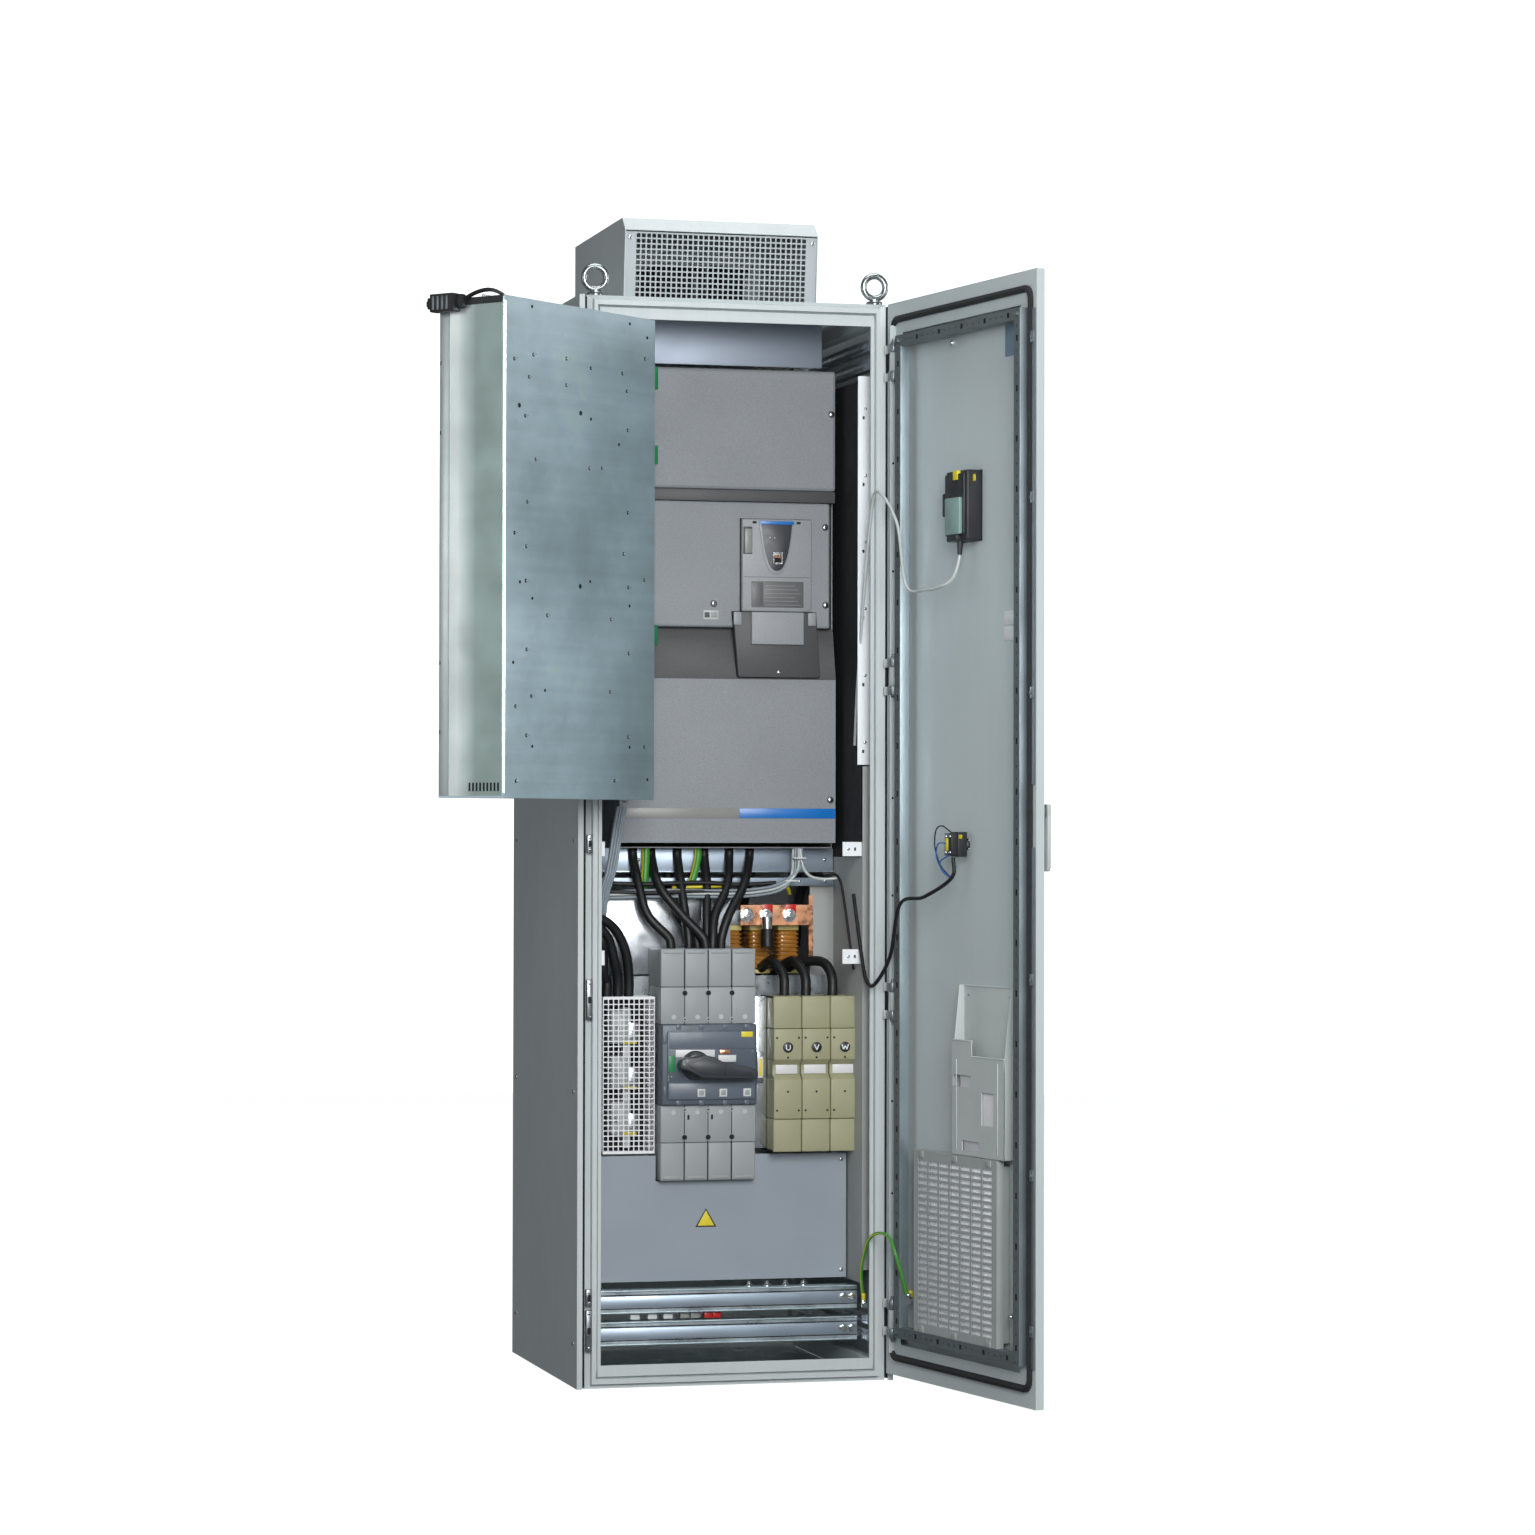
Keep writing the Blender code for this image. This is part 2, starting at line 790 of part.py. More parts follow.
def door_gasket(parent):
    """A foam strip laid as one loop round the door's edge."""
    base, top, width = 0.0084, 0.0164, 0.012
    stations = []
    for point, out in rounded_corners(-0.5605, -0.0150, 0.042, 1.9725, 0.024):
        inner = point - out * width
        stations.append(
            [
                (point.x, base, point.z),
                (point.x, top - 0.003, point.z),
                ((point.x + inner.x) / 2, top, (point.z + inner.z) / 2),
                (inner.x, top - 0.003, inner.z),
                (inner.x, base, inner.z),
            ]
        )
    return station_ring("door_gasket", stations, FOAM, parent)


def filter_unit(parent):
    """The inlet filter: a grille outside, a louvred frame inside, joined through the door."""
    inner = box("filter_unit", (-0.456, 0.0084, 0.107), (-0.136, 0.0234, 0.439), PALE_PLASTIC, parent)
    collar = box("filter_collar", (-0.449, -0.0100, 0.116), (-0.143, 0.0100, 0.430), PALE_PLASTIC, parent)
    outer = box("filter_outer", (-0.456, -0.0200, 0.107), (-0.136, -0.0084, 0.439), PALE_PLASTIC, parent)
    return join(inner, collar, outer)


def document_pocket(parent):
    low, high = (-0.4775, -0.0060, 0.436), (-0.2800, 0.0264, 0.743)
    low = (low[0], low[1], 0.4400)
    return open_box("document_pocket", low, high, ((0, 0, 1),), PALE_PLASTIC, parent, 0.002)


def keypad_holder(parent):
    """The control keypad's holder, with its bezel on the outside of the door."""
    inner = box("keypad_holder", (-0.343, -0.0100, 1.539), (-0.261, 0.0350, 1.665), BLACK, parent)
    bezel = box("keypad_bezel", (-0.355, -0.0220, 1.510), (-0.249, -0.0084, 1.694), BLACK, parent)
    return join(inner, bezel)


def contact_block(parent):
    return box("contact_block", (-0.302, 0.0010, 0.9725), (-0.272, 0.0330, 1.0172), DARK_GREY, parent)


def stop_button(parent):
    """A mushroom head on a stem that passes through the door to the contact block."""
    x, z = -0.287, 0.995
    origin = (x, -0.0340, z)
    head = cylinder("stop_button", (x, -0.0410, z), 0.020, 0.014, "y", RED, 24, parent, origin)
    stem = cylinder("button_stem", (x, -0.0203, z), 0.0085, 0.0296, "y", RED, 16, parent)
    return join(head, stem)


def door_handle(parent):
    """A swing handle: its lever lifts on a yoke, and the yoke turns the lock rods."""
    x, z = -0.532, 1.052
    base = box("handle_base", (x - 0.016, -0.0200, 0.940), (x + 0.016, -0.0084, 1.075), PALE_PLASTIC, parent)
    bevelled(base, 0.002)
    cut(base, cylinder("base_bore", (x, 0.0, z), 0.0090, 0.08, "y", PALE_PLASTIC, 16, parent))
    origin = (x, -0.0205, z)
    yoke = cylinder("handle_yoke", (x, -0.0233, z), 0.0140, 0.0054, "y", BRIGHT_ZINC, 20, parent, origin)
    shaft = cylinder("yoke_shaft", (x, -0.0089, z), 0.0070, 0.0298, "y", BRIGHT_ZINC, 12, parent)
    lug_low = (x - 0.004, -0.0385, z + 0.004)
    lug_high = (x + 0.004, -0.0250, z + 0.0135)
    lug = box("yoke_lug", lug_low, lug_high, BRIGHT_ZINC, parent)
    join(yoke, shaft, lug)
    lift_axis = (x, -0.0340, z + 0.010)
    lever_low = (x - 0.011, -0.0385, 0.948)
    lever_high = (x + 0.011, -0.0305, z + 0.001)
    lever = box("handle_lever", lever_low, lever_high, PALE_PLASTIC, parent, lift_axis)
    arms = []
    for name, left, right in (("left", -0.011, -0.0046), ("right", 0.0046, 0.011)):
        arms.append(
            box(
                f"lever_arm_{name}",
                (x + left, -0.0385, z - 0.004),
                (x + right, -0.0305, z + 0.014),
                PALE_PLASTIC,
                parent,
            )
        )
    join(lever, *arms)


def lock_rods(parent):
    left, right, back, front = -0.5700, -0.5615, 0.0085, 0.0115
    for name, low, high in (("lock_rod_lower", 0.085, 0.990), ("lock_rod_upper", 1.100, 1.930)):
        box(name, (left, back, low), (right, front, high), BRIGHT_ZINC, parent)


def door_side(s, off, z):
    """A world point on the open door's inside: s from the hinge axis, off above the sheet's edge plane."""
    x = -s
    y = DOOR_HALF_THICK + off
    cosine, sine = math.cos(DOOR_OPEN), math.sin(DOOR_OPEN)
    return (DOOR_AXIS[0] + x * cosine - y * sine, DOOR_AXIS[1] + x * sine + y * cosine, z)


def door_cables():
    """The cables that cross from the cabinet to the door."""
    keypad = (
        door_side(0.305, 0.010, 1.5375),
        door_side(0.304, 0.012, 1.5050),
        door_side(0.298, 0.020, 1.4740),
        door_side(0.278, 0.030, 1.4600),
        door_side(0.220, 0.036, 1.4550),
        (0.2755, -0.460, 1.4670),
        (0.2740, -0.405, 1.5850),
        (0.2560, -0.337, 1.6480),
        (0.2518, -0.305, 1.5900),
        (0.2512, -0.270, 1.4800),
        (0.2512, -0.225, 1.3000),
        (0.2512, -0.205, 1.1800),
    )
    control = (
        door_side(0.287, 0.014, 0.9715),
        door_side(0.285, 0.016, 0.9350),
        (0.2900, -0.530, 0.9000),
        (0.2740, -0.430, 0.8850),
        (0.2700, -0.380, 0.7900),
        (0.2555, -0.335, 0.7380),
        (0.2505, -0.300, 0.7360),
        (0.2505, -0.265, 0.7700),
        (0.2505, -0.200, 0.9000),
    )
    earth = (
        door_side(0.0900, 0.0060, 0.1700),
        door_side(0.0920, 0.0200, 0.2120),
        door_side(0.0880, 0.0310, 0.2520),
        (0.2680, -0.375, 0.2740),
        (0.2590, -0.335, 0.2760),
        (0.2512, -0.306, 0.2620),
        (0.2506, -0.280, 0.2360),
        (0.2506, -0.258, 0.2020),
        (0.2550, -0.2450, 0.1740),
        (0.2590, -0.2430, 0.1500),
    )
    cable("keypad_cable", keypad, 0.0030, PALE_CABLE)
    cable("control_cable", control, 0.0035, CABLE)
    cable("earth_strap", earth, 0.0030, EARTH)


# Swing tray


def swing_tray(parent):
    """A folded component carrier: back sheet, deep free side, shallow hinge side, flanged ends."""
    near, far, back = TRAY_NEAR, TRAY_FAR, TRAY_BACK
    free_edge = back - TRAY_DEPTH
    shallow = back - 0.060
    walls = (
        (near, shallow),
        (near + SHEET, shallow),
        (near + SHEET, back - SHEET),
        (far - SHEET, back - SHEET),
        (far - SHEET, free_edge),
        (far, free_edge),
        (far, back),
        (near, back),
    )
    tray = prism("swing_tray", walls, "z", TRAY_LOW, TRAY_HIGH, GALVANISED, parent)
    end = (
        (near + 0.0005, shallow + 0.002),
        (0.300, shallow + 0.002),
        (far - 0.0005, free_edge + 0.012),
        (far - 0.0005, back - 0.0005),
        (near + 0.0005, back - 0.0005),
    )
    tools = [
        prism("tray_floor", end, "z", TRAY_LOW + 0.0001, TRAY_LOW + SHEET, GALVANISED, parent),
        prism("tray_roof", end, "z", TRAY_HIGH - SHEET, TRAY_HIGH - 0.0001, GALVANISED, parent),
    ]
    arm = ((-0.0035, -0.0010), (0.0035, -0.0030), (near + 0.0010, 0.0640), (near + 0.0005, 0.0740))
    for which, height in TRAY_HINGE_HEIGHTS.items():
        low, high = height - 0.012, height + 0.012
        tools.append(prism(f"tray_arm_{which}", arm, "z", low, high, GALVANISED, parent))
        tools.append(
            cylinder(f"tray_barrel_{which}", (0.0, 0.0, height), 0.0055, 0.024, "z", GALVANISED, 14, parent)
        )
    join(tray, *tools)
    return cut(tray, cylinder("tray_bore", (0.0, 0.0, 1.5), 0.0033, 1.2, "z", GALVANISED, 10, parent))


def tray_modules(parent):
    """Control modules clipped side by side on their rail, on the tray's component side."""
    back = TRAY_BACK - SHEET - GAP
    rail = box("tray_modules", (0.060, back - 0.0080, 1.560), (0.440, back, 1.595), ALUMINIUM, parent)
    row = box("module_row", (0.075, back - 0.085, 1.530), (0.425, back - 0.0070, 1.630), DARK_GREY, parent)
    return join(rail, row)


def tray_hinge(which):
    """Two barrels with a pin, on a bracket screwed to the left post."""
    x, y = TRAY_AXIS
    height = TRAY_HINGE_HEIGHTS[which]
    name = f"tray_hinge_{which}"
    plate = box(name, (-0.2547, -0.2900, height - 0.030), (-0.2520, -0.2500, height + 0.030), BRIGHT_ZINC)
    tools = [cylinder(name + "_pin", (x, y, height), 0.0025, 0.050, "z", BRIGHT_ZINC, 10)]
    for side in (-1, 1):
        near, far = height + side * 0.0128, height + side * 0.0260
        low, high = min(near, far), max(near, far)
        middle = (x, y, (low + high) / 2)
        tools.append(cylinder(f"{name}_barrel_{side}", middle, 0.0055, high - low, "z", BRIGHT_ZINC, 14))
        tools.append(
            box(f"{name}_arm_{side}", (-0.2530, y - 0.004, low), (x, y + 0.004, high), BRIGHT_ZINC)
        )
    return join(plate, *tools)


cabinet_frame()
side_panel("side_panel_left", -1)
side_panel("side_panel_right", 1)
rear_panel()
floor_plate()
roof_plate()
roof_hood()
hood_grille()
fan_impeller()
for eye_side, eye_x in (("left", -EYE_X), ("right", EYE_X)):
    for eye_end, eye_y in (("front", -EYE_Y), ("rear", EYE_Y)):
        eyebolt(f"eyebolt_{eye_end}_{eye_side}", eye_x, eye_y)

air_baffle()
drive_chassis()
drive_covers()
keypad_module()
module_cover()
heat_sink()

mounting_plate()
main_switch()
switch_handle()
motor_terminals()
mesh_guard()
lower_cover_plate()
bottom_rail("bottom_rail_lower", 0.065, 0.110)
bottom_rail("bottom_rail_upper", 0.124, 0.168)
copper_busbar()
power_cables()

door_axis = axis_empty("door_axis", (*DOOR_AXIS, 0.0), DOOR_OPEN)
for index, hinge_height in enumerate(DOOR_HINGE_HEIGHTS, 1):
    door_hinge(f"door_hinge_{index}", hinge_height)
door_panel(door_axis)
door_stiffener(door_axis)
door_gasket(door_axis)
filter_unit(door_axis)
document_pocket(door_axis)
keypad_holder(door_axis)
contact_block(door_axis)
stop_button(door_axis)
door_handle(door_axis)
lock_rods(door_axis)
door_cables()

tray_axis = axis_empty("tray_axis", (*TRAY_AXIS, 0.0), TRAY_OPEN)
swing_tray(tray_axis)
tray_modules(tray_axis)
for hinge_place in TRAY_HINGE_HEIGHTS:
    tray_hinge(hinge_place)
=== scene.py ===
import bpy
import bmesh
import math
from mathutils import Matrix, Vector


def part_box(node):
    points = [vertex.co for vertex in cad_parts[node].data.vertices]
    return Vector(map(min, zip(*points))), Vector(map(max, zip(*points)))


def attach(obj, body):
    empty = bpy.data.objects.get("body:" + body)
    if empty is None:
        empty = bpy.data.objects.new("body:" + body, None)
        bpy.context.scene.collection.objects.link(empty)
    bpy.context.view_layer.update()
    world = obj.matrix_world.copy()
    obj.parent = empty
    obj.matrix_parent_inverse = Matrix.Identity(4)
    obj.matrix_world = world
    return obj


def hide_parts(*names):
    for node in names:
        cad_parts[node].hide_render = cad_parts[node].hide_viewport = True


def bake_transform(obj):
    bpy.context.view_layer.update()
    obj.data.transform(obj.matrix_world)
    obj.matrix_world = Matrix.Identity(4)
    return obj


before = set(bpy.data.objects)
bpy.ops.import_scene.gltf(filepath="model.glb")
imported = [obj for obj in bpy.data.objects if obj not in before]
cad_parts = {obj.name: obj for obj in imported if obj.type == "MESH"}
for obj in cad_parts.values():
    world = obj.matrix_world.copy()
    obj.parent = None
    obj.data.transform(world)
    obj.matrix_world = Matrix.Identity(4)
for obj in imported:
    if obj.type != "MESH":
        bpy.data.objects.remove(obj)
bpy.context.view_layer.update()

# ---------------------------------------------------------------- camera and light

# The camera was fitted to the photograph's corners of the cabinet, the door and the side.
CAMERA_PLACE = (-1.966, -8.038, 1.006)
YAW = math.radians(-14.65)
PITCH = math.radians(90.93)
ROLL = math.radians(0.11)
LENS = 101.6
SENSOR = 36.0


def camera():
    data = bpy.data.cameras.new("camera")
    data.lens = LENS
    data.sensor_width = SENSOR
    obj = bpy.data.objects.new("camera", data)
    turn = Matrix.Rotation(YAW, 4, "Z") @ Matrix.Rotation(PITCH, 4, "X") @ Matrix.Rotation(ROLL, 4, "Z")
    obj.matrix_world = Matrix.Translation(CAMERA_PLACE) @ turn
    bpy.context.collection.objects.link(obj)
    bpy.context.scene.camera = obj


def area_light(name, place, target, width, height, power, colour=(1, 1, 1)):
    data = bpy.data.lights.new(name, "AREA")
    data.shape = "RECTANGLE"
    data.size = width
    data.size_y = height
    data.energy = power
    data.color = colour
    obj = bpy.data.objects.new(name, data)
    obj.location = place
    obj.rotation_euler = (Vector(target) - Vector(place)).to_track_quat("-Z", "Y").to_euler()
    bpy.context.collection.objects.link(obj)


# ---------------------------------------------------------------- materials


def node_material(name):
    made = bpy.data.materials.new(name)
    made.use_nodes = True
    return made, made.node_tree.nodes, made.node_tree.links


def noise(nodes, links, coords, scale, detail=3.0, stretch=(1, 1, 1)):
    mapping = nodes.new("ShaderNodeMapping")
    mapping.inputs["Scale"].default_value = stretch
    links.new(coords, mapping.inputs["Vector"])
    texture = nodes.new("ShaderNodeTexNoise")
    texture.inputs["Scale"].default_value = scale
    texture.inputs["Detail"].default_value = detail
    links.new(mapping.outputs["Vector"], texture.inputs["Vector"])
    return texture.outputs["Fac"]


def spread(nodes, links, value, low, high, from_low=0.3, from_high=0.7):
    ranged = nodes.new("ShaderNodeMapRange")
    ranged.inputs["From Min"].default_value = from_low
    ranged.inputs["From Max"].default_value = from_high
    ranged.inputs["To Min"].default_value = low
    ranged.inputs["To Max"].default_value = high
    links.new(value, ranged.inputs["Value"])
    return ranged.outputs["Result"]


def multiply(nodes, links, colour, factor):
    scaled = nodes.new("ShaderNodeVectorMath")
    scaled.operation = "SCALE"
    if isinstance(colour, tuple):
        scaled.inputs[0].default_value = colour[:3]
    else:
        links.new(colour, scaled.inputs[0])
    links.new(factor, scaled.inputs["Scale"])
    return scaled.outputs["Vector"]


def surface(name, colour, rough, metal=0.0, mottle=0.05, size=9.0, grain=0.12, grain_size=900.0,
            streak=0.0, streak_stretch=(30, 30, 1.2), spangle=0.0, spangle_size=70.0, speckle=0.0,
            speckle_size=700.0, rough_spread=0.06, coat=0.0, depth=0.0002):
    """A material with soft colour mottling, optional streaks, zinc spangle or speckle, and a fine grain."""
    made, nodes, links = node_material(name)
    shader = nodes["Principled BSDF"]
    shader.inputs["Metallic"].default_value = metal
    shader.inputs["Coat Weight"].default_value = coat
    coords = nodes.new("ShaderNodeTexCoord").outputs["Object"]
    tone = spread(nodes, links, noise(nodes, links, coords, size), 1 - mottle, 1 + mottle)
    result = multiply(nodes, links, colour, tone)
    if streak:
        lines = noise(nodes, links, coords, 3.0, 4.0, streak_stretch)
        result = multiply(nodes, links, result, spread(nodes, links, lines, 1 - streak, 1 + streak))
    if spangle:
        cells = nodes.new("ShaderNodeTexVoronoi")
        cells.inputs["Scale"].default_value = spangle_size
        links.new(coords, cells.inputs["Vector"])
        grey = nodes.new("ShaderNodeRGBToBW")
        links.new(cells.outputs["Color"], grey.inputs["Color"])
        shade = spread(nodes, links, grey.outputs["Val"], 1 - spangle, 1 + spangle, 0, 1)
        result = multiply(nodes, links, result, shade)
    if speckle:
        dots = noise(nodes, links, coords, speckle_size, 1.0)
        result = multiply(nodes, links, result,
                          spread(nodes, links, dots, 1 - speckle, 1 + speckle, 0.35, 0.65))
    links.new(result, shader.inputs["Base Color"])
    fine = noise(nodes, links, coords, grain_size, 2.0)
    uneven = noise(nodes, links, coords, size * 2.5, 3.0)
    low, high = max(0.03, rough - rough_spread), min(1.0, rough + rough_spread)
    links.new(spread(nodes, links, uneven, low, high), shader.inputs["Roughness"])
    bump = nodes.new("ShaderNodeBump")
    bump.inputs["Strength"].default_value = grain
    bump.inputs["Distance"].default_value = depth
    links.new(fine, bump.inputs["Height"])
    links.new(bump.outputs["Normal"], shader.inputs["Normal"])
    return made


PAINT = surface("powder_coat", (0.545, 0.6, 0.61), 0.42, mottle=0.03, size=5, grain=0.25, grain_size=1400,
                streak=0.02)
DOOR_PAINT = surface("powder_coat_door", (0.52, 0.58, 0.59), 0.4, mottle=0.03, size=3, grain=0.18,
                     grain_size=1400, streak=0.008)
# White for the phase letters and the cable brackets; on the right post's perforated zinc strip it is a
# painted highlight in place of the zinc's bright reflection.
WHITE_AND_HIGHLIGHT = surface("white_and_painted_highlight", (0.88, 0.92, 0.95), 0.4, mottle=0.03, grain=0.2, grain_size=1400)
ZINC = surface("galvanised_sheet", (0.48, 0.56, 0.6), 0.34, 0.92, mottle=0.1, size=7, streak=0.1,
               spangle=0.06, spangle_size=90, rough_spread=0.1, grain=0.15)
TRAY_ZINC = surface("tray_sheet", (0.66, 0.8, 0.865), 0.36, 0.9, mottle=0.24, size=4, streak=0.05,
                    streak_stretch=(0.6, 0.6, 18), spangle=0.03, spangle_size=60, rough_spread=0.07,
                    grain=0.1)
TRAY_LINING = surface("tray_lining", (0.36, 0.4, 0.41), 0.62, 0.25, mottle=0.06, size=5, grain=0.12)
BAFFLE = surface("baffle_sheet", (0.33, 0.375, 0.445), 0.5, 0.8, mottle=0.05, size=5, grain=0.15)
BAND = surface("rail_band", (0.39, 0.47, 0.56), 0.42, 0.7, mottle=0.05, size=5, streak=0.04,
               streak_stretch=(1.5, 30, 30), rough_spread=0.06, grain=0.1)
CHANNEL = surface("channel_zinc", (0.5, 0.6, 0.65), 0.34, 0.85, mottle=0.07, size=6, streak=0.05,
                  streak_stretch=(30, 30, 0.7), rough_spread=0.06, grain=0.1)
CHANNEL_DARK = surface("channel_face", (0.15, 0.175, 0.18), 0.42, 0.5, mottle=0.08, size=9, grain=0.15)
EYE_ZINC = surface("eyebolt_zinc", (0.37, 0.41, 0.41), 0.26, 0.95, mottle=0.08, size=40, grain=0.12,
                   rough_spread=0.08)
# Painted light for the tray's free wall: a painted highlight blended in steps into painted shade.
WALL_PAINTED_HIGHLIGHT = (0.9, 0.98, 0.99)
WALL_PAINTED_SHADE = (0.36, 0.455, 0.435)
WALL_STEPS = 9


def wall_painted_light(step):
    """Painted light on the tray's side wall: a painted highlight at its edge that runs step by step into
    painted shade.
    """
    share = (step / (WALL_STEPS - 1)) ** 0.8
    return tuple(p + (q - p) * share for p, q in zip(WALL_PAINTED_HIGHLIGHT, WALL_PAINTED_SHADE))


TRAY_WALL_PAINTED_LIGHT = [
    surface(f"tray_wall_painted_light_{k}", wall_painted_light(k), 0.38, 0.9, mottle=0.09, size=5, streak=0.03,
            streak_stretch=(0.6, 0.6, 9), rough_spread=0.06, grain=0.1)
    for k in range(WALL_STEPS)
]
SHIELD_DARK = surface("keypad_shield", (0.038, 0.042, 0.05), 0.38, mottle=0.04, size=20, grain=0.1)
ROD_ZINC = surface("lock_rod_zinc", (0.21, 0.24, 0.26), 0.45, 0.6, mottle=0.08, size=20, grain=0.15)
PLATE_GREY = surface("guard_coat", (0.3, 0.345, 0.395), 0.42, mottle=0.03, size=8, grain=0.15)
MESH_WHITE = surface("mesh_coat", (0.86, 0.88, 0.9), 0.45, mottle=0.03, grain=0.15)
GRILLE_COAT = surface("grille_coat", (0.42, 0.47, 0.49), 0.42, mottle=0.03, grain=0.15)
# A darker copy of the powder coat, as painted shade on the cabinet's inner walls.
PAINTED_SHADE_COAT = surface("powder_coat_painted_shade", (0.33, 0.35, 0.345), 0.55, mottle=0.06, size=7, grain=0.2)
LABEL_GREY = surface("drive_label", (0.125, 0.132, 0.136), 0.4, mottle=0.04, size=30, grain=0.1)
PIVOT_PAINT = surface("hinge_coat", (0.5, 0.53, 0.52), 0.45, mottle=0.05, size=30, grain=0.15)
ZINC_PALE = surface("galvanised_pale", (0.6, 0.67, 0.68), 0.3, 0.9, mottle=0.08, size=6, streak=0.07,
                    streak_stretch=(40, 40, 0.8), spangle=0.05, rough_spread=0.08, grain=0.15)
ZINC_BRIGHT = surface("galvanised_bright", (0.78, 0.83, 0.88), 0.22, 0.95, mottle=0.08, size=8, streak=0.05,
                      spangle=0.08, spangle_size=60, rough_spread=0.06)
STEEL = surface("bright_zinc_plate", (0.78, 0.8, 0.81), 0.2, 1.0, mottle=0.06, size=60, grain=0.1,
                rough_spread=0.08)
DARK_STEEL = surface("dark_zinc_plate", (0.26, 0.29, 0.31), 0.35, 0.85, mottle=0.12, size=30, grain=0.2,
                     rough_spread=0.1)
DRIVE = surface("drive_housing", (0.252, 0.27, 0.29), 0.52, mottle=0.04, size=4, speckle=0.1,
                speckle_size=520, grain=0.35, grain_size=700)
DRIVE_DARK = surface("drive_recess", (0.076, 0.079, 0.081), 0.55, mottle=0.05, size=5, speckle=0.1,
                     speckle_size=520, grain=0.35, grain_size=700)
DRIVE_LIGHT = surface("drive_panel", (0.3, 0.318, 0.338), 0.45, mottle=0.03, size=12, speckle=0.05,
                      speckle_size=600, grain=0.25)
STRIPE_GREY = surface("stripe_grey", (0.27, 0.275, 0.265), 0.35, mottle=0.03, grain=0.1)
STRIPE_BLUE = surface("stripe_blue", (0.012, 0.17, 0.54), 0.3, mottle=0.04, grain=0.1)
SWITCH_GREY = surface("switch_cover", (0.335, 0.362, 0.372), 0.5, mottle=0.04, size=14, grain=0.3,
                      grain_size=1200)
SWITCH_DARK = surface("switch_body", (0.085, 0.108, 0.14), 0.42, mottle=0.06, size=18, grain=0.3,
                      grain_size=1200)
SWITCH_BLUE = surface("switch_panel", (0.125, 0.155, 0.195), 0.38, mottle=0.05, size=18, grain=0.25,
                      grain_size=1200)
GRIP = surface("grip_plastic", (0.04, 0.046, 0.054), 0.38, mottle=0.1, size=25, grain=0.35, grain_size=1100)
BLACK = surface("black_plastic", (0.016, 0.018, 0.02), 0.42, mottle=0.12, size=30, grain=0.3,
                grain_size=1100)
HOLE = surface("dark_hole", (0.008, 0.009, 0.01), 0.8, mottle=0.1, grain=0.1)
FOAM = surface("foam", (0.018, 0.019, 0.021), 0.75, mottle=0.2, size=120, grain=0.9, grain_size=500,
               depth=0.0008)
OLIVE = surface("terminal_cover", (0.35, 0.345, 0.215), 0.5, mottle=0.04, size=16, grain=0.3,
                grain_size=1200)
LABEL = surface("blank_label", (0.72, 0.73, 0.74), 0.4, mottle=0.03, size=30, grain=0.1)
YELLOW = surface("yellow_label", (0.8, 0.66, 0.03), 0.4, mottle=0.04, size=40, grain=0.1)
GREEN = surface("green_terminal", (0.02, 0.22, 0.085), 0.4, mottle=0.08, size=40, grain=0.25)
COPPER = surface("copper", (0.72, 0.36, 0.21), 0.3, 1.0, mottle=0.12, size=25, streak=0.05,
                 rough_spread=0.12)
AMBER = surface("varnished_winding", (0.36, 0.15, 0.02), 0.22, mottle=0.25, size=40, grain=0.3, coat=0.6)
PALE_YELLOW = surface("winding_former", (0.62, 0.52, 0.18), 0.45, mottle=0.08, size=20)
PALE_PLASTIC = surface("pale_plastic", (0.5, 0.545, 0.535), 0.42, mottle=0.04, size=12, grain=0.25,
                       grain_size=1200)
FILTER_GREY = surface("filter_plastic", (0.36, 0.385, 0.38), 0.4, mottle=0.05, size=14, grain=0.25,
                      grain_size=1200)
FILTER_MAT = surface("filter_mat", (0.93, 0.95, 0.97), 0.85, mottle=0.12, size=90, grain=0.9,
                     grain_size=350, depth=0.001)
ADAPTER = surface("adapter_plastic", (0.23, 0.345, 0.325), 0.4, mottle=0.05, size=30, grain=0.25)
CABLE_BLACK = surface("black_sheath", (0.006, 0.0065, 0.0075), 0.48, mottle=0.12, size=40, grain=0.25,
                      grain_size=800)
CABLE_GREY = surface("grey_sheath", (0.25, 0.3, 0.34), 0.32, mottle=0.08, size=40, grain=0.2,
                     grain_size=800)
CABLE_CLEAR = surface("clear_sheath", (0.5, 0.54, 0.53), 0.22, mottle=0.06, size=40, grain=0.15, coat=0.5)
CABLE_BLUE = surface("blue_sheath", (0.02, 0.1, 0.32), 0.35, mottle=0.08, size=40, grain=0.2)
CABLE_GREEN = surface("earth_green", (0.055, 0.3, 0.035), 0.35, mottle=0.08, size=40, grain=0.2)
CABLE_YELLOW = surface("earth_yellow", (0.78, 0.66, 0.02), 0.35, mottle=0.06, size=40, grain=0.2)
RED = surface("red_plastic", (0.55, 0.018, 0.015), 0.28, mottle=0.06, size=30, grain=0.15)
ALUMINIUM = surface("aluminium", (0.66, 0.67, 0.68), 0.36, 1.0, mottle=0.06, size=20, streak=0.08)
WHITE_PLASTIC = surface("white_plastic", (0.66, 0.68, 0.68), 0.35, mottle=0.03, size=20, grain=0.2)
BLUE_LABEL = surface("blue_label", (0.17, 0.26, 0.33), 0.4, mottle=0.05, size=40, grain=0.1)

# ---------------------------------------------------------------- mesh tools

FRONT = (0, -1, 0)
BACK = (0, 1, 0)
UP = (0, 0, 1)
SMOOTH_BELOW = math.radians(38)
REAR_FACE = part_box("rear_panel")[1][1]
SIDE_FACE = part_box("side_panel_right")[1][0]
DOOR = Matrix.Translation((0.2935, -0.312, 0.0)) @ Matrix.Rotation(math.radians(100.4), 4, "Z")
TRAY = Matrix.Translation((-0.2405, -0.258, 0.0)) @ Matrix.Rotation(math.radians(-138.3), 4, "Z")


